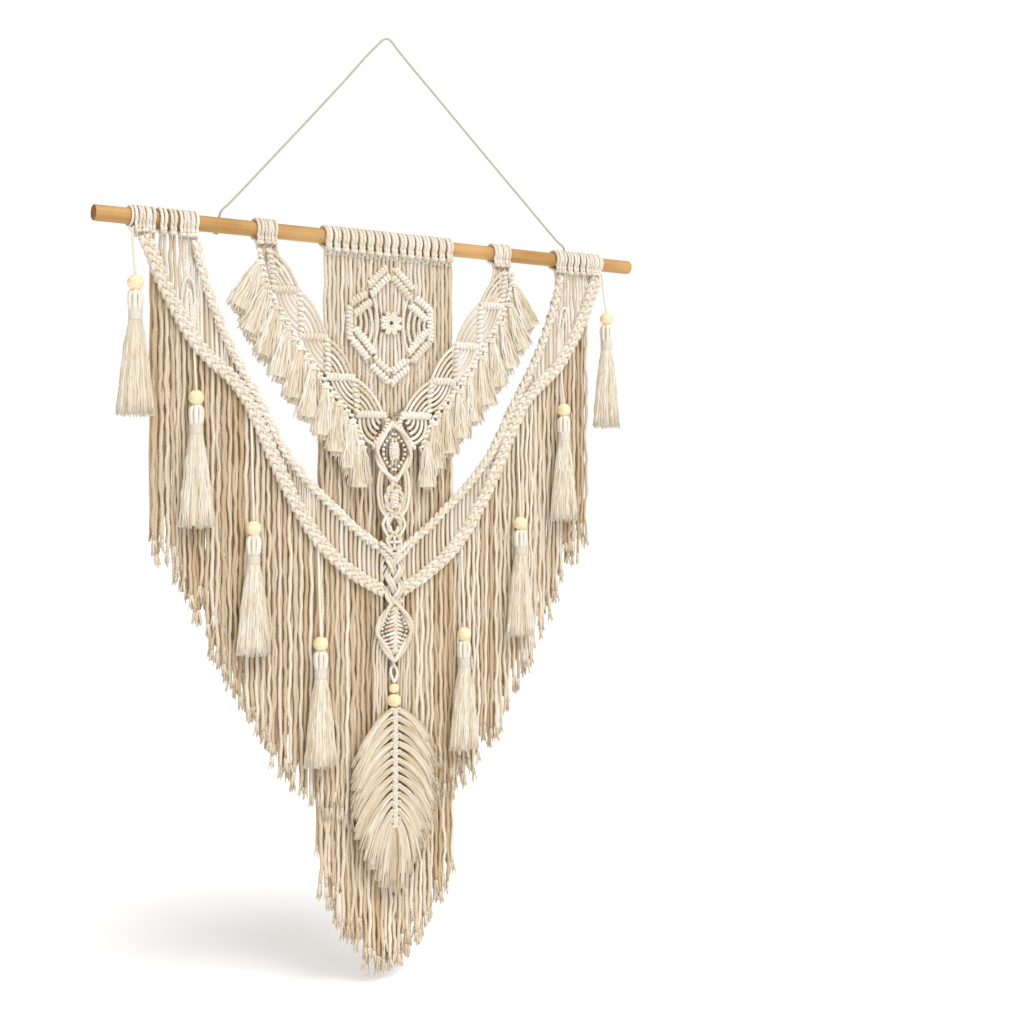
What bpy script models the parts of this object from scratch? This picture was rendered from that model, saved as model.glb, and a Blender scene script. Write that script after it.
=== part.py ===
"""Macrame wall hanging on a wooden rod, hung from one nail by a thin string.

Sizes and places are in millimetres and are measured from the rod's axis below
the nail: x to the right, y into the wall, z up. The left half is designed and
the right half is its mirror image. `in_metres` moves the origin to the nail.
"""
import math
from collections import namedtuple

import bpy
from mathutils import Vector

# ---- driving sizes -------------------------------------------------------
MM = 0.001
NAIL_ABOVE_ROD = 300.0
GAP = 0.35                      # between pieces that touch

ROD_LENGTH = 900.0
ROD_RADIUS = 11.0
ROD_RIGHT_RADIUS = 10.7
ROD_MIDDLE_X = 7.0
ROD_SIDES = 16
ROD_END = ((0.0, 0.72), (1.6, 0.9), (5.0, 1.0))     # distance from the end, share of the radius

CORD = 5.0                      # thickness of the cotton cord
STRAND_HALF_WIDTH = 0.47 * CORD
STRAND_HALF_DEPTH = 0.46 * CORD

STRING = 3.0                    # thickness of the hanger string
STRING_LEFT_X = -265.0
STRING_RIGHT_X = 326.2
STRING_HOLE_RADIUS = 2.3
STRING_MOUTH = (3.0, 10.6)      # y and z where the string enters the rod
STRING_EXIT = (10.8, -2.0)      # y and z where it leaves the rod again
STRING_KNOT_RADIUS = 4.2
STRING_KNOT_BEYOND_EXIT = 6.8
KNOT_LATITUDES = (60, 20, -20, -60)
STRING_TOP = NAIL_ABOVE_ROD + STRING / 2 + 0.15
STRING_BEND = 7.5               # from the mouth back to the corner of the string's bend
STRING_SHOULDER = (14.5, -10.1) # x and z from the string's top, where its bend over the nail begins
STRING_BROW = (6.6, -2.5)       # x and z from the top, inside that bend
# the hanging span between the bend and the shoulder: share of the way, sag
STRING_SPAN = ((0.045, 0.0), (0.25, 0.9), (0.5, 1.3), (0.75, 0.9))
# points in each stretch of one half of the route
STRING_STEPS = (1, 2, 3, 2, 3, 3, 3, 3, 2, 2)

HEAD_RADIUS = 16.4              # crest of a lark's head round the rod
HEAD_GROOVE_RADIUS = 13.9
HEAD_BORE_RADIUS = (ROD_RADIUS + GAP) / math.cos(math.pi / 8)
HEAD_SIDES = 8
STRAND_SIDE = 4                 # side of the ring, counted from its top, that the strands leave

# depths of the layers, from the wall side to the front
REAR_Y = -2.0
REAR_STRIP_Y = -4.6
PANEL_Y = -7.0
SIDE_FRINGE_Y = -8.6
BRAID_Y = -15.9
GARLAND_Y = -18.0
COLUMN_Y = -20.0
FEATHER_Y = -21.0
TASSEL_Y = -22.5

# ---- centre panel ---------------------------------------------------------
CENTRE_HALF_WIDTH = 109.0
CENTRE_HEADS = 16
DIAMOND_Z = -123.5
DIAMOND_HALF_HEIGHT = 83.5
DIAMOND_BLUNTNESS = 1.25        # 1 is a true rhombus, 2 an ellipse
DIAMOND_BAR = (5.5, 4.2)        # half width and half depth
ROSETTE_Z = -120.0
ROSETTE_RADIUS = 11.0
ROSETTE_BAR = (6.8, 4.6)
ROSETTE_PETALS = 6
CORNER_ARCS = (2, 3, 4)         # strands from the diamond's side corner that are looped round it
ARC_BULGE = (2.0, 1.6)          # for the corner itself, and more for each strand away from it
ARC_SWING = ((0.2, 0.7), (0.5, 1.0), (0.8, 0.7))    # share of the height, share of the bulge
ROSETTE_STRANDS = 3             # strands on each side of the middle that reach the rosette

# ---- centre fringe --------------------------------------------------------
REAR_STRIP_EDGE = (112.0, -192.0)
REAR_STRIP_MIDDLE_Z = -264.0
REAR_STRANDS = 32
REAR_STRIP_BAR = (3.0, 2.5)
REAR_SPREAD = 1.03
REAR_HEM = ((0, -1072), (14, -1068), (34, -1052), (45, -1032), (61, -1016),
            (81, -990), (100, -955), (116, -915))

# ---- side panels ----------------------------------------------------------
SIDE_HEADS_LEFT = ((-391.0, -301.0, 8),)
SIDE_HEADS_RIGHT = ((-391.0, -329.1, 6), (-323.3, -301.0, 2))
OUTER_BRAID = ((-379, -27), (-368, -50), (-353, -86), (-339, -113), (-323, -140), (-304, -167),
               (-281, -189), (-257, -208), (-238, -229), (-222, -255), (-209, -281), (-196, -309),
               (-181, -340), (-164, -372), (-146, -402), (-128, -428), (-104, -455), (-79, -476),
               (-52, -494), (-30, -506), (-14.3, -514))
INNER_BRAID = ((-306, -27), (-298, -62), (-287, -96), (-275, -126), (-262, -155), (-247, -183),
               (-231, -210), (-215, -236), (-202, -260), (-188, -286), (-172, -312), (-154, -334),
               (-137, -353), (-113, -376), (-88, -397), (-64, -419), (-39, -437), (-14.3, -455))
OUTER_BRAID_BAR = (9.3, 4.1)
INNER_BRAID_BAR = (5.0, 4.1)
BRAID_RIDGE = 0.1
OUTER_BRAID_STEP = 13.0
INNER_BRAID_STEP = 12.0
MIN_LINK = 5.0                  # nearer bars are left without a strand between them

# ---- side fringe ----------------------------------------------------------
SIDE_FRINGE_EDGES = (-367.0, -17.0)
SIDE_FRINGE_STRANDS = 42
SIDE_STRIP_BAR = (3.4, 2.75)
SIDE_STRIP_DROP = 3.0
SIDE_STRIP_NECK = 13.0
SIDE_HEM = ((17, -862), (69, -852), (94, -835), (119, -815), (144, -795), (169, -765), (194, -730),
            (219, -685), (244, -645), (269, -605), (294, -550), (319, -505), (344, -465), (369, -440))
HEM_RAGGEDNESS = 9.0

# ---- garlands -------------------------------------------------------------
GARLAND_HEADS = (-214.0, -183.0, 3)
GARLAND_STEPS = ((-199, -29), (-192, -84), (-153.5, -84), (-150, -148), (-110, -148),
                 (-107.5, -203.5), (-66, -203.5), (-60.5, -256), (-17, -256))
GARLAND_TAIL = ((-11.5, -262.7), (-35.3, -304.4))
GARLAND_BAR = (3.3, 3.3)
GARLAND_RIBS = 5                # in each leg of the steps
GARLAND_ARCS_INSIDE = (1, 2, 3, 4)
GARLAND_ARCS_OUTSIDE = (1, 2, 3)
TUFT_LINE = ((-214.9, -29.2), (-198.1, -89.2), (-156.1, -152.7), (-113.5, -208.2), (-66.7, -261.0),
             (-46.4, -308.2))
TUFT_BAR = (3.2, 4.2)
TUFTS = 10
LOCKS_PER_TUFT = 3
# along a tuft: share of its length, from lock to lock in x and in z, half width, half depth
TUFT_STATIONS = ((0.2, 6.2, 2.0, 2.8, 4.0), (1.0, 8.2, 3.0, 3.8, 4.4))
TUFT_HEM = 3.0
# share of the way down the line, x and z from a tuft's root to its end
TUFT_LEAN = ((0.0, -40, -68), (0.25, -26, -70), (0.5, -16, -74), (0.75, -10, -72), (1.0, -3, -68))

# ---- centre column --------------------------------------------------------
COLUMN_BAR = (5.0, 5.0)
SMALL_BAR = (3.4, 4.4)
LOOP_BAR = (2.0, 2.4)
TIE = (2.0, 3.0)                # half width and half depth of the strands that hold a knot
# strands between two pieces of the column: above, below, half width, half depth
COLUMN_CHAIN = (("upper_diamond", "twist", 3.0, 3.6), ("twist", "eye", 3.0, 3.6),
                ("eye", "flower", 3.0, 3.6), ("lower_diamond", "loop", 2.0, 2.4))
CROSSING_TIE = (3.8, 4.1)
# the long strand on each side: z where it leaves and ends, and its bends
SIDE_CORD_ENDS = (-331.0, -411.0)
SIDE_CORD_BENDS = ((27.0, -352.0), (27.5, -376.0), (22.0, -398.0))
FEATHER_CORD = 1.5
# rings of the column: name, top z, middle z, bottom z, half width, half of the flat top, bar, ribs
COLUMN_RINGS = {
    "upper_diamond": (-267.0, -309.0, -352.0, 28.0, 4.0, COLUMN_BAR, 4),
    "twist": (-363.5, -381.0, -399.0, 13.5, 3.5, SMALL_BAR, 3),
    "eye": (-407.5, -416.0, -425.0, 10.5, 3.5, SMALL_BAR, 2),
    "flower": (-434.0, -442.5, -450.0, 12.5, 3.5, SMALL_BAR, 2),
    "lower_diamond": (-528.5, -573.0, -616.5, 29.0, 4.0, COLUMN_BAR, 4),
    "loop": (-626.0, -634.0, -644.5, 5.4, 1.8, LOOP_BAR, 2),
}
# knots inside rings: top z, bottom z, half width, half depth, ribs
UPPER_KNOT = (-296.0, -322.0, 7.5, 6.5, 4)
FLOWER_KNOT = (-440.5, -443.5, 2.4, 4.4, 1)
LOWER_KNOT = (-547.0, -598.0, 8.5, 6.0, 6)
CROSSING = (-457.0, -520.0, 13.9, 5.4, 8)

# ---- beads, feather and tassels --------------------------------------------
BEAD_SIDES = 8
BEAD_HOLE = 2.9
BEAD_RIM = 1.5                  # the rim's radius over the hole's
BORE_DEPTH = 0.92               # the bore's ends over the rims' heights
BEAD_LATITUDES = (1.0, 0.36, -0.36, -1.0)      # shares of the rim's latitude
SMALL_BEAD = (-656.6, 7.4)      # z of the middle, radius
LARGE_BEAD = (-674.6, 10.2)
TASSEL_BEAD_RADIUS = 10.6

SPINE = (-685.3, -861.0)
SPINE_BAR = (6.0, 4.6)
SPINE_KNOTS = 12
FEATHER_OUTLINE = ((-686, 10), (-700, 26), (-720, 42), (-745, 56), (-765, 64), (-800, 66),
                   (-850, 65), (-880, 57), (-904, 47), (-930, 28), (-957, 9))
FEATHER_TIPS = (-758.0, -950.0)
FEATHER_LOCK_DEPTH = 3.6
FEATHER_LOCK_GAP = 0.45
FEATHER_BEND = (0.62, 4.0, 0.3)     # of a border's bend: share of the tip's x, added x, share of the drop
FEATHER_STATIONS = (0.3, 0.62, 1.0)
FEATHER_END = ((-889, 6.0, 3.8), (-925, 7.2, 3.6), (-958, 4.5, 2.2))    # z, half width, half depth

# each tassel of the left side: x of its middle, z of its bead, where its cord is tied
TASSELS = ((-393.8, -91.0, "rod"), (-308.6, -240.0, "braid"), (-224.5, -418.0, "braid"),
           (-121.0, -584.0, "braid"))
TASSEL_CORD_RADIUS = 1.7
TASSEL_CORD_DROP = 0.6          # below the braid's edge, because the edge slopes
TASSEL_LOCKS = 6
TASSEL_PROFILE = ((-10.8, 2.1), (-14.5, 8.0), (-25.5, 9.9), (-34.5, 6.6),
                  (-51.5, 6.6))                     # below the bead's middle, radius
TASSEL_CORE = 3.0
TASSEL_SKIRT = ((-62.0, 12.5, 8.2), (-176.0, 26.5, 10.6))   # below the bead, half width, half depth
TASSEL_SLIT = 0.12              # share of a lock's angle that stays open
TASSEL_HEM = 2.5                # unevenness of a skirt's lower edge
LOCK_INNER = 0.35               # a lock's inner radius over its outer
WRAP_PROFILE = ((-35.6, 8.3), (-42.5, 9.2), (-49.6, 8.3))
WRAP_BORE = 7.55
ROD_RING = (-396.2, -391.4)     # the outer tassels' cord round the rod
ROD_CORD_TOP = (-4.9, -19.9)    # y and z where it becomes a single cord

# ---- colours ---------------------------------------------------------------
COTTON = (0.83, 0.76, 0.63)
COMBED_COTTON = (0.85, 0.79, 0.67)
STRING_COTTON = (0.80, 0.77, 0.66)
ROD_WOOD = (0.52, 0.31, 0.13)
BEAD_WOOD = (0.83, 0.68, 0.44)

LEVEL = Vector((1, 0, 0))
Bar = namedtuple("Bar", "left right start end")


# ---- helpers ---------------------------------------------------------------
def in_metres(point):
    return Vector((point[0], point[1], point[2] - NAIL_ABOVE_ROD)) * MM


def material(name, colour, roughness):
    made = bpy.data.materials.new(name)
    made.use_nodes = True
    shader = made.node_tree.nodes["Principled BSDF"]
    shader.inputs["Base Color"].default_value = (*colour, 1.0)
    shader.inputs["Roughness"].default_value = roughness
    shader.inputs["Metallic"].default_value = 0.0
    return made


def add_object(name, points, faces, colour, roughness=0.9, smooth=False):
    mesh = bpy.data.meshes.new(name)
    mesh.from_pydata([in_metres(point) for point in points], [], faces)
    mesh.materials.append(material(name, colour, roughness))
    if smooth:
        mesh.shade_smooth()
        mesh.set_sharp_from_angle(angle=math.radians(40))
    thing = bpy.data.objects.new(name, mesh)
    bpy.context.collection.objects.link(thing)
    return thing


def between(table, key):
    """Value of a two-column table at key, straight between its rows."""
    rows = sorted(table)
    if key <= rows[0][0]:
        return rows[0][1]
    for (low, value), (high, following) in zip(rows, rows[1:]):
        if key <= high:
            return value + (following - value) * (key - low) / (high - low)
    return rows[-1][1]


def heading(before, here, after):
    """Direction of the smooth curve at a point, weighted to its nearer neighbour."""
    back = (here - before).length
    ahead = (after - here).length
    return ((here - before) / back * ahead + (after - here) / ahead * back) / (back + ahead)


def smooth_point(points, position):
    """Point at a position, counted in points, on the smooth curve through them."""
    index = min(int(position), len(points) - 2)
    t = position - index
    here, after = points[index], points[index + 1]
    start = end = after - here
    reach = start.length
    if index:
        start = heading(points[index - 1], here, after) * reach
    if index + 2 < len(points):
        end = heading(here, after, points[index + 2]) * reach
    return (here * (1 + 2 * t) * (1 - t) ** 2 + start * t * (1 - t) ** 2
            + after * t * t * (3 - 2 * t) - end * t * t * (1 - t))


def even_path(table, depth, step):
    """Points at even distances along the smooth curve through a table of (x, z)."""
    route = [Vector((x, depth, z)) for x, z in table]
    fine = [smooth_point(route, k / 12) for k in range(12 * (len(route) - 1) + 1)]
    travelled = [0.0]
    for here, after in zip(fine, fine[1:]):
        travelled.append(travelled[-1] + (after - here).length)
    count = round(travelled[-1] / step)
    path = []
    k = 0
    for number in range(count + 1):
        goal = travelled[-1] * number / count
        while k < len(fine) - 2 and travelled[k + 1] < goal:
            k += 1
        share = (goal - travelled[k]) / (travelled[k + 1] - travelled[k])
        path.append(fine[k].lerp(fine[k + 1], share))
    return path


def legs(corners, depth, ribs):
    """Points along straight legs, each divided into the same number of ribs."""
    path = [Vector((corners[0][0], depth, corners[0][1]))]
    for (x0, z0), (x1, z1) in zip(corners, corners[1:]):
        for k in range(1, ribs + 1):
            path.append(Vector((x0 + (x1 - x0) * k / ribs, depth, z0 + (z1 - z0) * k / ribs)))
    return path


def circle(centre, axis, radius_a, radius_b, sides):
    """Ring of points whose walls face out when the rings follow +x or, for axis z, -z."""
    points = []
    for k in range(sides):
        angle = 2 * math.pi * k / sides
        if axis == "x":
            points.append(centre + Vector((0, radius_a * math.sin(angle), radius_b * math.cos(angle))))
        else:
            points.append(centre + Vector((radius_a * math.cos(angle), radius_b * math.sin(angle), 0)))
    return points


def raggedness(number, size):
    """An uneven offset for strand `number`, the same on each run."""
    return size * (0.6 * math.sin(number * 2.4) + 0.4 * math.sin(number * 5.7 + 1.0))


class Web:
    """One fused solid of knotted cord: its points and its outward faces.

    A face of a bar that a strand leaves or joins is called a port.
    """

    def __init__(self):
        self.points = []
        self.faces = {}

    def add(self, places):
        first = len(self.points)
        self.points.extend(Vector(place) for place in places)
        return tuple(range(first, len(self.points)))

    def centre(self, port):
        return sum((self.points[k] for k in port), Vector()) / len(port)

    def wall(self, ring, following):
        """Side faces between two rings; returns them in the order of the ring."""
        made = []
        for side in range(len(ring)):
            beside = (side + 1) % len(ring)
            face = (ring[side], following[side], following[beside], ring[beside])
            self.faces[face] = None
            made.append(face)
        return made

    def cap(self, ring):
        face = tuple(ring)
        self.faces[face] = None
        return face

    def bar(self, path, size, ridge=0.12, closed=False, finish=None):
        """A ridged bar along a path in the plane of the cloth; finish is its last direction."""
        half_width, half_depth = size
        count = len(path)
        rings = []
        for k, here in enumerate(path):
            before = path[k - 1] if k or closed else here
            after = path[(k + 1) % count] if closed or k + 1 < count else here
            back = (here - before).normalized()
            ahead = (after - here).normalized()
            along = (back + ahead).normalized()
            if finish and k == count - 1:
                along = finish
            mitre = 1.0
            if before != here and after != here:
                mitre = min(1.6, 1 / max(0.4, along.dot(ahead)))
            swell = 1 - ridge * (k % 2)
            wide = Vector((-along.z, 0, along.x)) * half_width * swell * mitre
            deep = Vector((0, half_depth * swell, 0))
            rings.append(self.add((here + wide - deep, here + wide + deep,
                                   here - wide + deep, here - wide - deep)))
        left, right = [], []
        pairs = list(zip(rings, rings[1:]))
        if closed:
            pairs.append((rings[-1], rings[0]))
        for ring, following in pairs:
            sides = self.wall(ring, following)
            left.append(sides[0])
            right.append(sides[2])
        start = end = None
        if not closed:
            start = self.cap(rings[0])
            end = self.cap(reversed(rings[-1]))
        return Bar(left, right, start, end)

    def heads(self, start_x, end_x, count):
        """Lark's heads round the rod; returns one port for each hanging strand."""
        ribs = 2 * count
        rings = []
        for k in range(ribs + 1):
            radius = HEAD_RADIUS if k % 2 else HEAD_GROOVE_RADIUS
            centre = Vector((start_x + (end_x - start_x) * k / ribs, 0, 0))
            rings.append(self.add(circle(centre, "x", radius, radius, HEAD_SIDES)))
        for x in (end_x, start_x):
            rings.append(self.add(circle(Vector((x, 0, 0)), "x", HEAD_BORE_RADIUS,
                                         HEAD_BORE_RADIUS, HEAD_SIDES)))
        ports = []
        for k, ring in enumerate(rings):
            sides = self.wall(ring, rings[(k + 1) % len(rings)])
            if k < ribs:
                ports.append(sides[STRAND_SIDE])
        return ports

    def lock(self, port, edges, end=None):
        """Four-sided strand from a port through pairs of edge points.

        Each row of edges holds the two edge points and the half depth there.
        """
        del self.faces[port]
        along = self.points[port[1]] - self.points[port[0]]
        deep_sign = 1 if (self.points[port[2]] - self.points[port[1]]).y > 0 else -1
        loop = port
        for one, other, half_depth in edges:
            if (other - one).dot(along) < 0:
                one, other = other, one
            deep = Vector((0, half_depth * deep_sign, 0))
            following = self.add((one - deep, other - deep, other + deep, one + deep))
            self.turn_wall(loop, following)
            loop = following
            along = other - one
        if end is None:
            self.faces[loop] = None
            return
        del self.faces[end]
        flipped = [tuple(end[(k - i) % 4] for i in range(4)) for k in range(4)]
        self.turn_wall(loop, min(flipped, key=lambda ring: self.distance(loop, ring)))

    def distance(self, ring, other):
        return sum((self.points[a] - self.points[b]).length for a, b in zip(ring, other))

    def sorted_round(self, ring):
        """The ring's points in order round its upright middle line."""
        middle = self.centre(ring)
        return sorted(ring, key=lambda k: math.atan2(self.points[k].y - middle.y,
                                                     self.points[k].x - middle.x))

    def turn_wall(self, ring, following):
        """Side faces of a strand, whose rings run the other way round than a bar's."""
        for side in range(4):
            beside = (side + 1) % 4
            self.faces[(ring[side], ring[beside], following[beside], following[side])] = None

    def strand(self, port, centres, half_width=STRAND_HALF_WIDTH, half_depth=STRAND_HALF_DEPTH,
               end=None):
        """A strand of even thickness from a port through its centres, to a free end or a port."""
        line = [self.centre(port), *centres]
        line.append(self.centre(end) if end else centres[-1] * 2 - line[-2])
        edges = []
        for before, here, after in zip(line, line[1:], line[2:]):
            along = Vector((after.x - before.x, 0, after.z - before.z)).normalized()
            side = Vector((along.z, 0, -along.x)) * half_width
            edges.append((here - side, here + side, half_depth))
        self.lock(port, edges, end)

    def link(self, port, end, half_width=STRAND_HALF_WIDTH, half_depth=STRAND_HALF_DEPTH):
        """A straight strand between two ports, narrowed in its middle."""
        middle = (self.centre(port) + self.centre(end)) / 2
        self.strand(port, [middle], half_width, half_depth, end)

    def nearest(self, ports, x):
        """The free port whose middle is nearest to x."""
        free = [port for port in ports if port in self.faces]
        return min(free, key=lambda port: abs(self.centre(port).x - x))

    def level_with(self, ports, z):
        """The free port whose middle is nearest to the height z."""
        free = [port for port in ports if port in self.faces]
        return min(free, key=lambda port: abs(self.centre(port).z - z))

    def make(self, name, colour, mirrored=False):
        points, faces = self.points, list(self.faces)
        if mirrored:
            points = [Vector((-p.x, p.y, p.z)) for p in points]
            faces = [tuple(reversed(face)) for face in faces]
        return add_object(name, points, faces, colour)


# ---- rod and hanger --------------------------------------------------------
def rod_radius(x):
    share = (x - ROD_MIDDLE_X) / ROD_LENGTH + 0.5
    return ROD_RADIUS + (ROD_RIGHT_RADIUS - ROD_RADIUS) * share


def make_rod():
    """The rod with its rounded ends and two slanting holes for the string."""
    left_x = ROD_MIDDLE_X - ROD_LENGTH / 2
    right_x = ROD_MIDDLE_X + ROD_LENGTH / 2
    sections = [(left_x + inset, share) for inset, share in ROD_END]
    sections += [(right_x - inset, share) for inset, share in reversed(ROD_END)]
    web = Web()
    rings = []
    for x, share in sections:
        radius = rod_radius(x) * share
        rings.append(web.add(circle(Vector((x, 0, 0)), "x", radius, radius, ROD_SIDES)))
    for ring, following in zip(rings, rings[1:]):
        web.wall(ring, following)
    web.cap(rings[0])
    web.cap(reversed(rings[-1]))
    rod = add_object("rod", web.points, list(web.faces), ROD_WOOD, roughness=0.45, smooth=True)
    cut = rod.modifiers.new("string holes", "BOOLEAN")
    cut.operation = "DIFFERENCE"
    cut.solver = "EXACT"
    cut.object = hole_cutter()
    return rod


def hole_direction():
    return Vector((0, STRING_EXIT[0] - STRING_MOUTH[0], STRING_EXIT[1] - STRING_MOUTH[1])).normalized()


def hole_cutter():
    """Both slanting string holes as one cutter, wider than the string."""
    along = hole_direction()
    across = Vector((1, 0, 0))
    third = along.cross(across)
    sides = 10
    overrun = 4.0
    web = Web()
    for x in (STRING_LEFT_X, STRING_RIGHT_X):
        rings = []
        for place in (Vector((x, *STRING_MOUTH)) - along * overrun,
                      Vector((x, *STRING_EXIT)) + along * overrun):
            ring = []
            for k in range(sides):
                angle = 2 * math.pi * k / sides
                ring.append(place + (across * math.sin(angle) + third * math.cos(angle))
                            * STRING_HOLE_RADIUS)
            rings.append(web.add(ring))
        web.wall(*rings)
        web.cap(rings[0])
        web.cap(reversed(rings[1]))
    cutter = add_object("hole_cutter", web.points, list(web.faces), ROD_WOOD)
    cutter.hide_render = True
    cutter.display_type = "WIRE"
    return cutter


def string_route():
    """Route of the string: out of its left knot, through the rod, over the nail and back down."""
    along = hole_direction()
    top = Vector((0, 0, STRING_TOP))
    halves = []
    for side, x in ((-1, STRING_LEFT_X), (1, STRING_RIGHT_X)):
        mouth = Vector((x, *STRING_MOUTH))
        leave = Vector((x, *STRING_EXIT))
        corner = mouth - along * STRING_BEND
        shoulder = top + Vector((side * STRING_SHOULDER[0], 0, STRING_SHOULDER[1]))
        half = [leave + along * 2.2, leave.lerp(mouth, 0.5), mouth - along * 2.0,
                corner + Vector((side * -1.6, 0.2, 2.6))]
        for share, sag in STRING_SPAN:
            half.append(corner.lerp(shoulder, share) - Vector((0, 0, sag)))
        halves.append([*half, shoulder, top + Vector((side * STRING_BROW[0], 0, STRING_BROW[1]))])
    return [*halves[0], top, *reversed(halves[1])]


def string_points():
    route = string_route()
    steps = [*STRING_STEPS, *reversed(STRING_STEPS)]
    points = []
    for stretch, count in enumerate(steps):
        for k in range(count):
            points.append(smooth_point(route, stretch + k / count))
    points.append(route[-1])
    return points


def make_hanger():
    """The string as one curve, and its two stopper knots behind the rod."""
    curve = bpy.data.curves.new("hanger_cord", "CURVE")
    curve.dimensions = "3D"
    curve.bevel_depth = STRING / 2 * MM
    curve.bevel_resolution = 2
    curve.use_fill_caps = True
    points = string_points()
    spline = curve.splines.new("POLY")
    spline.points.add(len(points) - 1)
    for slot, point in zip(spline.points, points):
        slot.co = (*in_metres(point), 1.0)
    curve.materials.append(material("hanger_cord", STRING_COTTON, 0.85))
    cord = bpy.data.objects.new("hanger_cord", curve)
    bpy.context.collection.objects.link(cord)
    for name, x in (("hanger_knot_left", STRING_LEFT_X), ("hanger_knot_right", STRING_RIGHT_X)):
        middle = Vector((x, *STRING_EXIT)) + hole_direction() * STRING_KNOT_BEYOND_EXIT
        make_ball(name, middle, STRING_KNOT_RADIUS, STRING_COTTON)


def make_ball(name, middle, radius, colour):
    web = Web()
    rings = []
    for latitude in KNOT_LATITUDES:
        size = radius * math.cos(math.radians(latitude))
        centre = middle + Vector((0, 0, radius * math.sin(math.radians(latitude))))
        rings.append(web.add(circle(centre, "z", size, size, 8)))
    for ring, following in zip(rings, rings[1:]):
        web.wall(ring, following)
    web.cap(rings[0])
    web.cap(reversed(rings[-1]))
    return web.make(name, colour)


# ---- centre panel ----------------------------------------------------------
def diamond_path(pitch, steps):
    """The big diamond, from its left corner over the top: one step for each strand above it."""
    half_width = pitch * steps / 2
    path = []
    for sign in (1, -1):
        for k in range(steps):
            x = sign * (k * pitch - half_width)
            rise = (1 - (abs(x) / half_width) ** DIAMOND_BLUNTNESS) ** (1 / DIAMOND_BLUNTNESS)
            path.append(Vector((x, PANEL_Y, DIAMOND_Z + sign * DIAMOND_HALF_HEIGHT * rise)))
    return path


def rear_strip_z(x):
    share = min(1.0, abs(x) / REAR_STRIP_EDGE[0])
    return REAR_STRIP_MIDDLE_Z + (REAR_STRIP_EDGE[1] - REAR_STRIP_MIDDLE_Z) * share


def drop_to_rear_strip(web, port):
    """A strand that hangs from a port and ends just above the strip of the centre fringe."""
    top = web.centre(port)
    end_z = rear_strip_z(top.x) + REAR_STRIP_BAR[0] * 1.3 + STRAND_HALF_WIDTH * 0.75 + GAP
    web.strand(port, [Vector((top.x, PANEL_Y, top.z - 11.0)), Vector((top.x, PANEL_Y, end_z))])


def make_centre_panel():
    web = Web()
    heads = web.heads(-CENTRE_HALF_WIDTH, CENTRE_HALF_WIDTH, CENTRE_HEADS)
    pitch = 2 * CENTRE_HALF_WIDTH / len(heads)
    beside = 5                                  # straight strands on each side of the diamond
    steps = len(heads) - 2 * beside
    diamond = web.bar(diamond_path(pitch, steps), DIAMOND_BAR, closed=True)
    upper_out, lower_out = diamond.left[:steps], diamond.left[steps:]
    upper_in, lower_in = diamond.right[:steps], diamond.right[steps:][::-1]
    for port in heads[:beside] + heads[-beside:]:
        drop_to_rear_strip(web, port)
    for port, end in zip(heads[beside:-beside], upper_out):
        web.link(port, end)
    for port in lower_out:
        drop_to_rear_strip(web, port)
    add_corner_arcs(web, upper_in, lower_in)
    add_rosette(web, upper_in, lower_in)
    return web.make("centre_panel", COTTON)


def add_corner_arcs(web, upper, lower):
    """Nested strands round the left and right corners of the diamond."""
    last = len(upper) - 1
    for number in CORNER_ARCS:
        for k, side in ((number, 1), (last - number, -1)):
            top, bottom = web.centre(upper[k]), web.centre(lower[k])
            bulge = Vector((side * (ARC_BULGE[0] + ARC_BULGE[1] * number), 0, 0))
            inner = [top.lerp(bottom, share) + bulge * swing for share, swing in ARC_SWING]
            web.strand(upper[k], inner, end=lower[k])


def add_rosette(web, upper, lower):
    """The flower of knots round a small hole, with the strands that hold it."""
    count = 2 * ROSETTE_PETALS
    path = []
    for k in range(count):
        angle = math.pi / 2 - 2 * math.pi * k / count
        path.append(Vector((ROSETTE_RADIUS * math.cos(angle), PANEL_Y - 0.6,
                            ROSETTE_Z + ROSETTE_RADIUS * math.sin(angle))))
    ring = web.bar(path, ROSETTE_BAR, ridge=0.16, closed=True)
    middle = len(upper) // 2
    for number in range(ROSETTE_STRANDS):
        for side in (-1, 1):
            k = middle + number if side > 0 else middle - 1 - number
            angle = 2 * math.pi * (number + 0.5) / count
            x = side * (ROSETTE_RADIUS + ROSETTE_BAR[0]) * math.sin(angle)
            above = [p for p in ring.left if web.centre(p).z > ROSETTE_Z + 1]
            below = [p for p in ring.left if web.centre(p).z < ROSETTE_Z - 1]
            web.link(upper[k], web.nearest(above, x))
            web.link(lower[k], web.nearest(below, x))


def make_centre_fringe():
    """The long rear strands, fused into a narrow V-shaped strip behind the garlands."""
    web = Web()
    path = []
    for k in range(REAR_STRANDS + 1):
        x = REAR_STRIP_EDGE[0] * (2 * k / REAR_STRANDS - 1)
        path.append(Vector((x, REAR_STRIP_Y, rear_strip_z(x))))
    strip = web.bar(path, REAR_STRIP_BAR, ridge=0.1)
    for number, port in enumerate(strip.right):
        top = web.centre(port)
        hem = between(REAR_HEM, abs(top.x)) + raggedness(number, HEM_RAGGEDNESS)
        web.strand(port, [Vector((top.x, REAR_Y - 1.0, top.z - 12.0)),
                          Vector((top.x * REAR_SPREAD, REAR_Y, hem))])
    return web.make("centre_fringe", COTTON)


# ---- side panels and their fringe -------------------------------------------
def add_outer_braid(web):
    return web.bar(even_path(OUTER_BRAID, BRAID_Y, OUTER_BRAID_STEP), OUTER_BRAID_BAR, BRAID_RIDGE,
                   finish=LEVEL)


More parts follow.
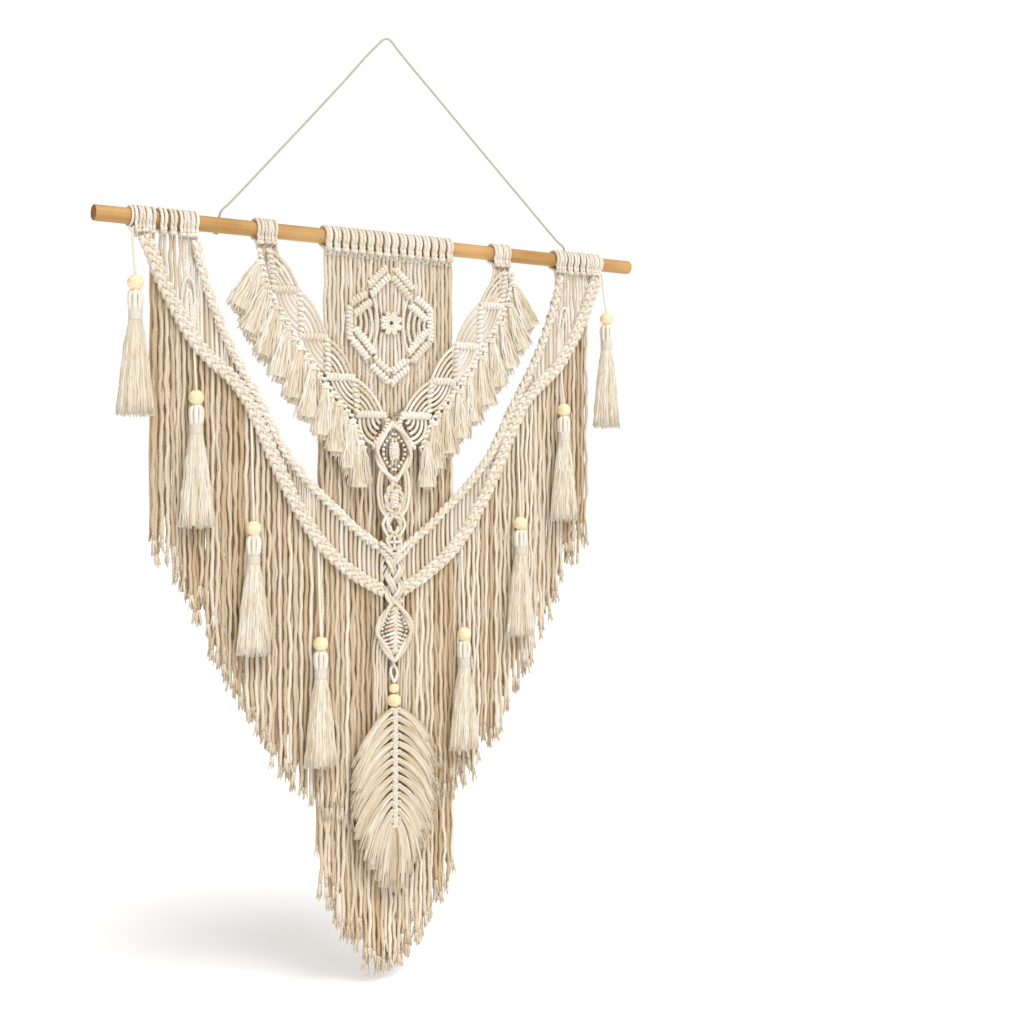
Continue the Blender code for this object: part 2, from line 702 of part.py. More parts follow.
def make_side_panel(name, head_rows, mirrored):
    """Lark's heads, the two braids and the strands that join them."""
    web = Web()
    heads = []
    for row in head_rows:
        heads += web.heads(*row)
    outer = add_outer_braid(web)
    inner = web.bar(even_path(INNER_BRAID, BRAID_Y, INNER_BRAID_STEP), INNER_BRAID_BAR,
                    BRAID_RIDGE, finish=LEVEL)
    web.link(web.nearest(heads, OUTER_BRAID[0][0]), outer.start)
    web.link(web.nearest(heads, INNER_BRAID[0][0]), inner.start)
    for port in heads:
        x = web.centre(port).x
        if port in web.faces and OUTER_BRAID[0][0] + 4 < x < INNER_BRAID[0][0] - 3:
            web.link(port, web.nearest(outer.left, x))
    for port in inner.right:
        top = web.centre(port)
        end = web.nearest(outer.left, top.x)
        foot = web.centre(end)
        if top.z - foot.z > MIN_LINK and abs(foot.x - top.x) < OUTER_BRAID_STEP / 2:
            web.link(port, end)
    return web.make(name, COTTON, mirrored)


def braid_height(x):
    """Height of the outer braid's middle line at x."""
    return between([(px, pz) for px, pz in OUTER_BRAID], x)


def make_side_fringe(name, mirrored):
    """The fringe below the outer braid, fused into a strip behind the braid."""
    web = Web()
    first, last = SIDE_FRINGE_EDGES
    path = []
    for k in range(SIDE_FRINGE_STRANDS + 1):
        x = first + (last - first) * k / SIDE_FRINGE_STRANDS
        path.append(Vector((x, SIDE_FRINGE_Y, braid_height(x) - SIDE_STRIP_DROP)))
    strip = web.bar(path, SIDE_STRIP_BAR, ridge=0.1)
    for number, port in enumerate(strip.right):
        top = web.centre(port)
        x = (path[number].x + path[number + 1].x) / 2
        hem = between(SIDE_HEM, abs(x)) + raggedness(number, HEM_RAGGEDNESS)
        web.strand(port, [Vector((x, SIDE_FRINGE_Y, top.z - SIDE_STRIP_NECK)),
                          Vector((x, SIDE_FRINGE_Y, hem))])
    return web.make(name, COTTON, mirrored)


# ---- garlands ---------------------------------------------------------------
def add_step_arcs(web, bar, leg, side):
    """Nested strands that round the corner at the end of a leg, on its hollow side."""
    ports = bar.left if side == "inside" else bar.right
    numbers = GARLAND_ARCS_INSIDE if side == "inside" else GARLAND_ARCS_OUTSIDE
    corner = Vector((GARLAND_STEPS[leg + 1][0], GARLAND_Y, GARLAND_STEPS[leg + 1][1]))
    for number in numbers:
        port = ports[(leg + 1) * GARLAND_RIBS - 1 - number]
        end = ports[(leg + 1) * GARLAND_RIBS + number]
        start_arm = web.centre(port) - corner
        end_arm = web.centre(end) - corner
        turns = (30, 60) if number > 2 else (45,)
        bends = [corner + start_arm * math.cos(math.radians(turn))
                 + end_arm * math.sin(math.radians(turn)) for turn in turns]
        web.strand(port, bends, half_width=2.0, half_depth=2.2, end=end)


def make_garland(name, mirrored):
    """Three lark's heads and the stepped bar with its nested strands."""
    web = Web()
    heads = web.heads(*GARLAND_HEADS)
    path = legs(GARLAND_STEPS, GARLAND_Y, GARLAND_RIBS)
    path += legs(GARLAND_TAIL, GARLAND_Y, GARLAND_RIBS)
    bar = web.bar(path, GARLAND_BAR, ridge=0.14)
    web.link(web.nearest(heads, GARLAND_STEPS[0][0]), bar.start)
    for leg in range(len(GARLAND_STEPS) - 2):
        add_step_arcs(web, bar, leg, "inside" if leg % 2 == 0 else "outside")
    return web.make(name, COTTON, mirrored)


def tuft_lean(share):
    return (between([(row[0], row[1]) for row in TUFT_LEAN], share),
            between([(row[0], row[2]) for row in TUFT_LEAN], share))


def make_tufts(name, mirrored):
    """Combed tufts whose roots are fused into the knotted lower edge of a garland."""
    web = Web()
    count = TUFTS * LOCKS_PER_TUFT
    coarse = legs(TUFT_LINE, GARLAND_Y, 1)
    length = sum((b - a).length for a, b in zip(coarse, coarse[1:]))
    path = straight_path(coarse, length, count)
    bar = web.bar(path, TUFT_BAR, ridge=0.18)
    for number, port in enumerate(bar.right):
        tuft = number // LOCKS_PER_TUFT
        beside = number % LOCKS_PER_TUFT - (LOCKS_PER_TUFT - 1) / 2
        lean_x, lean_z = tuft_lean(tuft / (TUFTS - 1))
        middle = web.centre(bar.right[tuft * LOCKS_PER_TUFT + 1])
        edges = []
        for share, pitch, step, half_width, half_depth in TUFT_STATIONS:
            place = middle + Vector((lean_x * share + beside * pitch, 0,
                                     lean_z * share - beside * step
                                     + raggedness(number, TUFT_HEM * share)))
            wide = Vector((half_width, 0, 0))
            edges.append((place - wide, place + wide, half_depth))
        web.lock(port, edges)
    return web.make(name, COMBED_COTTON, mirrored)


def straight_path(corners, length, count):
    """Evenly spaced points along straight stretches."""
    path = []
    for k in range(count + 1):
        goal = length * k / count
        for here, after in zip(corners, corners[1:]):
            stretch = (after - here).length
            if goal <= stretch + 1e-6:
                path.append(here.lerp(after, goal / stretch))
                break
            goal -= stretch
    return path


# ---- centre column -----------------------------------------------------------
def add_ring(web, row):
    """A lozenge of knotted cord: its top, right, bottom and left, clockwise."""
    top, middle, bottom, half_width, flat, size, ribs = row
    corners = ((-flat, top), (flat, top), (half_width, middle), (flat, bottom), (-flat, bottom),
               (-half_width, middle), (-flat, top))
    path = []
    for (x0, z0), (x1, z1) in zip(corners, corners[1:]):
        parts = 1 if z0 == z1 else ribs
        for k in range(parts):
            share = k / parts
            path.append(Vector((x0 + (x1 - x0) * share, COLUMN_Y, z0 + (z1 - z0) * share)))
    ring = web.bar(path, size, ridge=0.14, closed=True)
    return {"top": ring.left[0], "bottom": ring.left[1 + 2 * ribs], "in_top": ring.right[0],
            "in_bottom": ring.right[1 + 2 * ribs],
            "in_right": ring.right[1:1 + 2 * ribs], "in_left": ring.right[2 + 2 * ribs:],
            "out_right": ring.left[1:1 + 2 * ribs], "out_left": ring.left[2 + 2 * ribs:]}


def add_knot(web, row):
    """An upright ridged knot; its left ports face right because it runs downwards."""
    top, bottom, half_width, half_depth, ribs = row
    path = [Vector((0, COLUMN_Y, top + (bottom - top) * k / ribs)) for k in range(ribs + 1)]
    return web.bar(path, (half_width, half_depth), ridge=0.14)


def tie_knot(web, ring, knot, rungs):
    """Hang a knot in a ring from above, below and both sides."""
    web.link(ring["in_top"], knot.start, *TIE)
    web.link(ring["in_bottom"], knot.end, *TIE)
    for rung in rungs:
        for ports, sides in ((knot.left, ring["in_right"]), (knot.right, ring["in_left"])):
            height = web.centre(ports[rung]).z
            web.link(ports[rung], web.level_with(sides, height), *TIE)


def make_centre_column():
    """Two knotted diamonds, the chain between them and the cord that carries the feather."""
    web = Web()
    rings = {name: add_ring(web, row) for name, row in COLUMN_RINGS.items()}
    tie_knot(web, rings["upper_diamond"], add_knot(web, UPPER_KNOT), (1, 2))
    tie_knot(web, rings["flower"], add_knot(web, FLOWER_KNOT), (0,))
    tie_knot(web, rings["lower_diamond"], add_knot(web, LOWER_KNOT), (1, 2, 3, 4))
    crossing = add_knot(web, CROSSING)
    for above, below, half_width, half_depth in COLUMN_CHAIN:
        web.link(rings[above]["bottom"], rings[below]["top"], half_width, half_depth)
    web.link(rings["flower"]["bottom"], crossing.start, *CROSSING_TIE)
    web.link(crossing.end, rings["lower_diamond"]["top"], *CROSSING_TIE)
    for side, sign in (("out_right", 1), ("out_left", -1)):
        start = web.level_with(rings["upper_diamond"][side], SIDE_CORD_ENDS[0])
        end = web.level_with(rings["eye"][side], SIDE_CORD_ENDS[1])
        web.strand(start, [Vector((sign * x, COLUMN_Y, z)) for x, z in SIDE_CORD_BENDS], end=end)
    below_loop = web.centre(rings["loop"]["bottom"]) - Vector((0, 0, FEATHER_CORD))
    cord_foot = Vector((0, COLUMN_Y, SPINE[0] + GAP))
    web.strand(rings["loop"]["bottom"], [below_loop, cord_foot], FEATHER_CORD, FEATHER_CORD)
    return web.make("centre_column", COTTON)


# ---- beads, feather and tassels ------------------------------------------------
def make_bead(name, middle, radius):
    """A round bead with an upright hole."""
    web = Web()
    rings = []
    rim = math.degrees(math.acos(BEAD_HOLE * BEAD_RIM / radius))
    for share in BEAD_LATITUDES:
        latitude = math.radians(rim * share)
        size = radius * math.cos(latitude)
        rings.append(circle(middle + Vector((0, 0, radius * math.sin(latitude))), "z", size, size,
                            BEAD_SIDES))
    depth = radius * math.sin(math.radians(rim)) * BORE_DEPTH
    for height in (-depth, depth):
        rings.append(circle(middle + Vector((0, 0, height)), "z", BEAD_HOLE, BEAD_HOLE, BEAD_SIDES))
    loops = [web.add(ring) for ring in rings]
    for k, loop in enumerate(loops):
        web.wall(loop, loops[(k + 1) % len(loops)])
    return add_object(name, web.points, list(web.faces), BEAD_WOOD, roughness=0.5, smooth=True)


def feather_edge(number, side):
    """Border number of the feather's locks: points from the spine to the outline."""
    share = number / SPINE_KNOTS
    root_z = SPINE[0] + (SPINE[1] - SPINE[0]) * share
    tip_z = FEATHER_TIPS[0] + (FEATHER_TIPS[1] - FEATHER_TIPS[0]) * share
    tip_x = between(FEATHER_OUTLINE, tip_z)
    root = Vector((side * SPINE_BAR[0], FEATHER_Y, root_z))
    tip = Vector((side * tip_x, FEATHER_Y, tip_z))
    bend_x, added_x, drop = FEATHER_BEND
    bend = Vector((side * (bend_x * tip_x + added_x), FEATHER_Y, root_z + drop * (tip_z - root_z)))
    return [root * (1 - t) ** 2 + bend * 2 * t * (1 - t) + tip * t * t for t in FEATHER_STATIONS]


def make_feather():
    """A spine of square knots with combed locks on both sides and a tuft at its foot."""
    web = Web()
    path = [Vector((0, FEATHER_Y, SPINE[0] + (SPINE[1] - SPINE[0]) * k / SPINE_KNOTS))
            for k in range(SPINE_KNOTS + 1)]
    spine = web.bar(path, SPINE_BAR, ridge=0.12)
    for side, ports in ((1, spine.left), (-1, spine.right)):
        for number, port in enumerate(ports):
            upper = feather_edge(number, side)
            lower = feather_edge(number + 1, side)
            edges = []
            for one, other in zip(upper, lower):
                inset = (other - one).normalized() * FEATHER_LOCK_GAP
                edges.append((one + inset, other - inset, FEATHER_LOCK_DEPTH))
            web.lock(port, edges)
    tuft = []
    for z, half_width, half_depth in FEATHER_END:
        middle = Vector((0, FEATHER_Y, z))
        wide = Vector((half_width, 0, 0))
        tuft.append((middle - wide, middle + wide, half_depth))
    web.lock(spine.end, tuft)
    return web.make("feather", COMBED_COTTON)


def braid_underside(x):
    """Height of the outer braid's lower edge at x."""
    web = Web()
    edge = [web.points[port[0]] for port in add_outer_braid(web).right]
    return between([(point.x, point.z) for point in edge], x)


def add_skirt(web, ports, middle_x, bead_z):
    """Locks below a tassel's neck, a sector each."""
    count = len(ports)
    for k, port in enumerate(ports):
        del web.faces[port]
        loop = port
        for below, half_width, half_depth in TASSEL_SKIRT:
            hem = TASSEL_HEM if below == TASSEL_SKIRT[-1][0] else 0.0
            z = bead_z + below + raggedness(k + bead_z, hem)
            first = 2 * math.pi * (k + TASSEL_SLIT) / count
            last = 2 * math.pi * (k + 1 - TASSEL_SLIT) / count
            places = []
            for angle, share in ((first, 1.0), (first, LOCK_INNER), (last, LOCK_INNER), (last, 1.0)):
                places.append(Vector((middle_x + half_width * share * math.cos(angle),
                                      TASSEL_Y + half_depth * share * math.sin(angle), z)))
            following = web.add(places)
            web.turn_wall(loop, following)
            loop = following
        web.faces[loop] = None


def make_tassel(number, x, bead_z, tied_to, mirrored):
    """A tassel with its head, neck and skirt, hung on its own cord."""
    side = "right" if mirrored else "left"
    web = Web()
    if tied_to == "rod":
        cord_top = Vector((x, ROD_CORD_TOP[0], ROD_CORD_TOP[1]))
    else:
        underside = braid_underside(x + TASSEL_CORD_RADIUS)
        cord_top = Vector((x, BRAID_Y, underside - TASSEL_CORD_DROP))
    rings = [circle(cord_top, "z", TASSEL_CORD_RADIUS, TASSEL_CORD_RADIUS, TASSEL_LOCKS)]
    bead_top = Vector((x, TASSEL_Y, bead_z + TASSEL_BEAD_RADIUS + GAP))
    rings.append(circle(bead_top, "z", TASSEL_CORD_RADIUS, TASSEL_CORD_RADIUS, TASSEL_LOCKS))
    for below, radius in TASSEL_PROFILE:
        centre = Vector((x, TASSEL_Y, bead_z + below))
        rings.append(circle(centre, "z", radius, radius, TASSEL_LOCKS))
    last = Vector((x, TASSEL_Y, bead_z + TASSEL_PROFILE[-1][0]))
    rings.append(circle(last, "z", TASSEL_CORE, TASSEL_CORE, TASSEL_LOCKS))
    loops = [web.add(ring) for ring in rings]
    for loop, following in zip(loops, loops[1:]):
        ports = web.wall(loop, following)
    add_skirt(web, ports, x, bead_z)
    web.cap(reversed(loops[-1]))
    if tied_to == "rod":
        ring_ports = web.heads(*ROD_RING, 1)
        tie_cord_to_ring(web, loops[0], ring_ports)
    else:
        web.cap(loops[0])
    web.make(f"tassel_{number}_{side}", COMBED_COTTON, mirrored)
    make_wrap(f"tassel_wrap_{number}_{side}", x, bead_z, mirrored)
    bead_x = -x if mirrored else x
    make_bead(f"tassel_bead_{number}_{side}", Vector((bead_x, TASSEL_Y, bead_z)), TASSEL_BEAD_RADIUS)


def tie_cord_to_ring(web, cord_ring, ports):
    """Join the top of a tassel's cord to the underside of its ring round the rod."""
    first, second = ports
    del web.faces[first]
    del web.faces[second]
    outline = web.sorted_round({*first, *second})
    zip_rings(web, outline, web.sorted_round(cord_ring))


def zip_rings(web, above, below):
    """Triangles between an upper ring and a lower ring with another number of points."""
    a, b = 0, 0
    while a < len(above) or b < len(below):
        take_above = b >= len(below) or (a < len(above) and a * len(below) <= b * len(above))
        one, other = above[a % len(above)], below[b % len(below)]
        if take_above:
            web.faces[(one, other, above[(a + 1) % len(above)])] = None
            a += 1
        else:
            web.faces[(one, other, below[(b + 1) % len(below)])] = None
            b += 1


def make_wrap(name, x, bead_z, mirrored):
    """The binding wound round a tassel's neck, as a ridged ring."""
    web = Web()
    sides = 8
    rings = [circle(Vector((x, TASSEL_Y, bead_z + below)), "z", radius, radius, sides)
             for below, radius in WRAP_PROFILE]
    for below in (WRAP_PROFILE[-1][0], WRAP_PROFILE[0][0]):
        rings.append(circle(Vector((x, TASSEL_Y, bead_z + below)), "z", WRAP_BORE, WRAP_BORE, sides))
    loops = [web.add(ring) for ring in rings]
    for k, loop in enumerate(loops):
        web.wall(loop, loops[(k + 1) % len(loops)])
    return web.make(name, COTTON, mirrored)


# ---- the whole hanging ----------------------------------------------------------
def clear_scene():
    for thing in list(bpy.data.objects):
        bpy.data.objects.remove(thing)


def main():
    clear_scene()
    make_rod()
    make_hanger()
    make_centre_panel()
    make_centre_fringe()
    for side, mirrored, heads in (("left", False, SIDE_HEADS_LEFT), ("right", True, SIDE_HEADS_RIGHT)):
        make_side_panel(f"side_panel_{side}", heads, mirrored)
        make_side_fringe(f"side_fringe_{side}", mirrored)
        make_garland(f"garland_{side}", mirrored)
        make_tufts(f"garland_tufts_{side}", mirrored)
        for number, (x, bead_z, tied_to) in enumerate(TASSELS, 1):
            make_tassel(number, x, bead_z, tied_to, mirrored)
    make_centre_column()
    make_bead("bead_small", Vector((0, COLUMN_Y, SMALL_BEAD[0])), SMALL_BEAD[1])
    make_bead("bead_large", Vector((0, COLUMN_Y, LARGE_BEAD[0])), LARGE_BEAD[1])
    make_feather()


main()
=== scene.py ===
"""Looks of the macrame wall hanging: its cords, knots, tassels, beads, rod and studio.

Sizes and places are in millimetres, as in the part's source: x to the right from the
hanging's centre line, y to the back and z up from the rod's axis. The left half is designed
and the right half is its mirror image. Bundle.mesh turns all of it into metres, measured
from the point that the string hangs from.
"""
import math

import bpy
import numpy as np
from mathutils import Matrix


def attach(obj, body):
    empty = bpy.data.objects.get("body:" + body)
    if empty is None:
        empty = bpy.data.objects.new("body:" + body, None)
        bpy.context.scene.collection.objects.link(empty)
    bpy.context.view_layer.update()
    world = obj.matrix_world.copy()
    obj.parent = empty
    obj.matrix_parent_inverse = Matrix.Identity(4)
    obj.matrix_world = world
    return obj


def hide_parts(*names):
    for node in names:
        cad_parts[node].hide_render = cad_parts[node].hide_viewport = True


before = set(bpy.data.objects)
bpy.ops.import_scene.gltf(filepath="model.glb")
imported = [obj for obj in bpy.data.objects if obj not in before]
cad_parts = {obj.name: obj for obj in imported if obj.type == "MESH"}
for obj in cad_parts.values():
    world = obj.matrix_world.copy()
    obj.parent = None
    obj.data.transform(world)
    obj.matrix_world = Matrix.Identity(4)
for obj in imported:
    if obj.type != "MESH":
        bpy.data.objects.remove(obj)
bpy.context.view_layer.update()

bl_info = {
    "name": "Macrame wall hanging",
    "version": (1, 0, 0),
    "blender": (4, 5, 0),
    "location": "View3D > Sidebar > Macrame",
    "description": "Cords, knots, tassels, beads, rod and studio of a macrame wall hanging",
    "category": "Add Mesh",
}

# ---- sizes and places, most of them those of the part's source -----------------------
MM = 0.001
TURN = 2 * math.pi
POINTS_PER_TURN = 12            # in a wound cord
MOST_TRIANGLES = 200000         # in one piece
HANGER_ABOVE_ROD = 300.0

ROD_MIDDLE_X = 7.0
ROD_LENGTH = 900.0
ROD_RADIUS = 11.0
ROD_RIGHT_RADIUS = 10.7         # it is a little thinner there
ROD_SIDES = 40
# its eased ends: distance in from the end, share of the radius
ROD_END = ((0.0, 0.0), (0.0, 0.82), (0.2, 0.9), (0.7, 0.95), (1.5, 0.98), (3.0, 1.0), (9.0, 1.0))
# dark pin knots in it: x, z, radius
ROD_KNOTS = ((-261.6, -5.0, 1.3), (-114.3, -6.5, 1.1), (-427.0, 1.0, 1.2), (208.0, 2.0, 1.0))

STRING = 3.0                    # thickness of the hanging string
STRING_ENDS = (-265.0, 326.2)   # x of its holes in the rod
STRING_MOUTH = (3.0, 10.6)      # y and z where it enters the rod
STRING_EXIT = (10.8, -2.0)      # y and z where it leaves the rod again
STRING_KNOT_RADIUS = 4.2
STRING_KNOT_BEYOND_EXIT = 6.8
STRING_TOP = HANGER_ABOVE_ROD + STRING / 2 + 0.15
STRING_BEND = 7.5               # from the mouth to the corner of its bend above the rod
STRING_SHOULDER = (14.5, -10.1) # x and z from the string's top, where its top bend begins
STRING_BROW = (6.6, -2.5)       # x and z from the top, inside that bend
# its span between the two bends: share of the way, sag
STRING_SPAN = ((0.045, 0.0), (0.25, 0.9), (0.5, 1.3), (0.75, 0.9))

HEAD_LINE = 13.75               # from the rod's axis to the middle of a wrapped cord
CENTRE_HALF_WIDTH = 109.0
CENTRE_HEADS = 16

# depths of the layers, from the back to the front
REAR_Y = -2.0
PANEL_Y = -7.0
SIDE_FRINGE_Y = -8.6
BRAID_Y = -15.9
GARLAND_Y = -18.0
COLUMN_Y = -20.0
FEATHER_Y = -21.0
TASSEL_Y = -22.5

ROSETTE_Z = -120.0              # middle of the flower in the large diamond

# the strip that the long fringe hangs from, and that fringe
REAR_STRIP_EDGE = (112.0, -192.0)
REAR_STRIP_MIDDLE_Z = -264.0
REAR_STRANDS = 32               # in each layer
REAR_SPREAD = 1.03              # how much wider it hangs at its hem
REAR_LAYERS = (-1.6, 2.4, 6.2)  # places of the layers, front to back of REAR_Y
REAR_LOWEST = -1062.0
# distance from the centre line, height of the hem
REAR_HEM = ((0, -1072), (14, -1068), (34, -1052), (45, -1032), (61, -1016),
            (81, -990), (100, -955), (116, -915))

# middle lines of the braids, as (x, z)
OUTER_BRAID = ((-379, -27), (-368, -50), (-353, -86), (-339, -113), (-323, -140), (-304, -167),
               (-281, -189), (-257, -208), (-238, -229), (-222, -255), (-209, -281), (-196, -309),
               (-181, -340), (-164, -372), (-146, -402), (-128, -428), (-104, -455), (-79, -476),
               (-52, -494), (-30, -506), (-14.3, -514))
INNER_BRAID = ((-306, -27), (-298, -62), (-287, -96), (-275, -126), (-262, -155), (-247, -183),
               (-231, -210), (-215, -236), (-202, -260), (-188, -286), (-172, -312), (-154, -334),
               (-137, -353), (-113, -376), (-88, -397), (-64, -419), (-39, -437), (-14.3, -455))
SIDE_FRINGE_EDGES = (-367.0, -17.0)
SIDE_FRINGE_STRANDS = 42
# the layers of a side fringe: shift in strands, and place to the back of SIDE_FRINGE_Y
SIDE_LAYERS = ((0.0, 0.0), (0.5, 4.4), (0.02, 8.6))
SIDE_HEM = ((17, -862), (69, -852), (94, -835), (119, -815), (144, -795), (169, -765),
            (194, -730), (219, -685), (244, -645), (269, -605), (294, -550), (319, -505),
            (344, -465), (369, -440))

# the garland's corners and tail, and the line that its tufts hang from, as (x, z)
GARLAND_STEPS = ((-199, -29), (-192, -84), (-153.5, -84), (-150, -148), (-110, -148),
                 (-107.5, -203.5), (-66, -203.5), (-60.5, -256), (-17, -256))
GARLAND_TAIL = ((-11.5, -262.7), (-35.3, -304.4))
TUFT_LINE = ((-214.9, -29.2), (-198.1, -89.2), (-156.1, -152.7), (-113.5, -208.2), (-66.7, -261.0),
             (-46.4, -308.2))
TUFTS = 10                      # in front; those behind hang between them
# share of the way along that line, then x and z from the root of a tuft to its tip
TUFT_LEAN = ((0.0, -35, -68), (0.25, -19, -72), (0.5, -10, -76), (0.75, -6, -74), (1.0, -1, -69))

SMALL_BEAD = (-656.6, 7.4)      # height of its middle, and radius
LARGE_BEAD = (-674.6, 10.2)
TASSEL_BEAD_RADIUS = 10.6
BEAD_HOLE = 2.9                 # radius
BEAD_RINGS = 19
BEAD_SIDES = 36
SPINE = (-685.3, -861.0)        # top and foot
# height, and how far the feather reaches to each side
FEATHER_OUTLINE = ((-686, 10), (-700, 26), (-720, 42), (-745, 56), (-765, 64), (-800, 66),
                   (-850, 65), (-880, 57), (-904, 47), (-930, 28), (-957, 9))
FEATHER_TIPS = (-758.0, -950.0) # heights of the highest and lowest tips
# x, height of the bead, and what the cord is tied to
TASSELS = ((-393.8, -91.0, "rod"), (-308.6, -240.0, "braid"), (-224.5, -418.0, "braid"),
           (-121.0, -584.0, "braid"))

# ---- the photograph's view -----------------------------------------------------------
CAMERA_PLACE = (-1.1049, -1.9334, -0.6539)
CAMERA_TURN = (90.0, 0.0, -34.5066)
CAMERA_LENS = 1500 / 1024 * 36
CAMERA_SHIFT = -30 / 1024


# ---- lines ---------------------------------------------------------------------------
def unit(vectors):
    """The vectors with a length of one."""
    return vectors / np.maximum(np.linalg.norm(vectors, axis=-1, keepdims=True), 1e-9)


def travelled(line):
    """Distance from the start to each point of one or more lines."""
    gaps = np.linalg.norm(np.diff(line, axis=-2), axis=-1)
    start = np.zeros(gaps.shape[:-1] + (1,))
    return np.concatenate((start, np.cumsum(gaps, axis=-1)), axis=-1)


def even(line, count):
    """A line divided into evenly spaced points."""
    line = np.asarray(line, float)
    far = travelled(line)
    goals = np.linspace(0.0, far[-1], count)
    return np.stack([np.interp(goals, far, line[:, axis]) for axis in range(3)], axis=-1)


def smooth(knots, count=None, step=2.5):
    """Evenly spaced points on the smooth curve through a few places."""
    knots = np.asarray(knots, float)
    gaps = np.linalg.norm(np.diff(knots, axis=0), axis=1)[:, None]
    slopes = np.diff(knots, axis=0) / gaps
    turns = np.empty_like(knots)
    turns[0], turns[-1] = slopes[0], slopes[-1]
    turns[1:-1] = (slopes[:-1] * gaps[1:] + slopes[1:] * gaps[:-1]) / (gaps[1:] + gaps[:-1])
    t = (np.arange(14) / 14)[None, :, None]
    here, after = knots[:-1, None], knots[1:, None]
    leave, reach = turns[:-1, None] * gaps[:, None], turns[1:, None] * gaps[:, None]
    fine = (here * (1 + 2 * t) * (1 - t) ** 2 + leave * t * (1 - t) ** 2
            + after * t * t * (3 - 2 * t) - reach * t * t * (1 - t))
    fine = np.concatenate((fine.reshape(-1, 3), knots[-1:]))
    if count is None:
        count = max(3, int(round(travelled(fine)[-1] / step)) + 1)
    return even(fine, count)


def in_plane(table, depth, side=1):
    """Rows of (x, z) as places at one depth; side is -1 for their mirror image."""
    table = np.asarray(table, float)
    return np.stack((table[:, 0] * side, np.full(len(table), depth), table[:, 1]), axis=1)


def along_line(line):
    """Direction of a line at each of its points."""
    return unit(np.gradient(line, axis=-2))


def beside(line):
    """Direction square to a line in the plane of the cloth, to the left of its travel."""
    along = along_line(line)
    return unit(np.stack((-along[..., 2], np.zeros(along.shape[:-1]), along[..., 0]), axis=-1))


def ease(far, reach):
    """0 at the start of a distance, rising to 1 at its reach."""
    share = np.clip(far / reach, 0.0, 1.0)
    return share * share * (3 - 2 * share)


def wander(lines, rng, size, wave, reach=30.0, both_ends=False):
    """The lines with uneven bends sideways and in depth, none at their tops or at both ends."""
    far = travelled(lines)
    free = ease(far, reach)
    if both_ends:
        free = free * ease(far[:, -1:] - far, reach)
    bent = np.array(lines, float)
    for axis, amount in ((0, size[0]), (1, size[1])):
        total = np.zeros_like(far)
        for octave in (1.0, 2.1, 4.7):
            phase = rng.uniform(0.0, TURN, (len(far), 1))
            strength = rng.uniform(0.4, 1.0, (len(far), 1)) / octave ** 0.6
            total += strength * np.sin(TURN * far * octave / wave + phase)
        bent[..., axis] += amount * free * total
    return bent


def wind(path, pitch, wide, deep, lead):
    """The line of a cord wound round a path, `wide` in the cloth's plane and `deep` across it."""
    turns = max(1, int(round(travelled(path)[-1] / pitch)))
    line = even(path, turns * POINTS_PER_TURN + 1)
    angle = TURN * np.arange(len(line)) / POINTS_PER_TURN + lead
    across = beside(line)
    line = line + across * (wide * np.cos(angle))[:, None]
    line[:, 1] += deep * np.sin(angle)
    return line


def plait(path, strands, length, wide, deep):
    """Lines of the strands of a flat plait along a path; length is that of one crossing over."""
    far = travelled(path)
    across = beside(path)
    weave = np.sin if strands % 2 else np.cos
    lines = []
    for number in range(strands):
        angle = TURN * (far / length + number / strands)
        swing = np.sin(angle) - np.sin(3 * angle) / 14
        line = path + across * (wide * swing)[:, None]
        line[:, 1] += deep * weave((strands - 1) * angle)
        lines.append(line)
    return np.array(lines)


def small_loop(middle, size, count):
    """Points round a small loop: size is its reach in x, y and z, and y tilts it."""
    t = np.linspace(0, TURN, count)[:, None]
    return middle + size * np.concatenate((np.sin(t), np.cos(t), np.cos(t)), axis=1)


def between(table, key):
    """Values of a two-column table at a key, straight between its rows."""
    rows = np.array(sorted(table), float)
    return np.interp(key, rows[:, 0], rows[:, 1])


def at_share(path, share):
    """Point of a path at a share of its length."""
    far = travelled(path)
    return np.array([np.interp(share * far[-1], far, path[:, axis]) for axis in range(3)])


# ---- meshes --------------------------------------------------------------------------
def frames_along(lines):
    """Two directions square to each line, carried along it without twisting."""
    along = along_line(lines)
    deep = np.empty_like(lines)
    first = np.where(np.abs(along[:, :1, 1]) < 0.8, (0.0, 1.0, 0.0), (1.0, 0.0, 0.0))
    deep[:, 0] = unit(first - along[:, 0] * np.sum(first * along[:, 0], axis=1, keepdims=True))
    for k in range(1, lines.shape[1]):
        carried = deep[:, k - 1]
        here = along[:, k]
        deep[:, k] = unit(carried - here * np.sum(carried * here, axis=1, keepdims=True))
    return np.cross(deep, along), deep


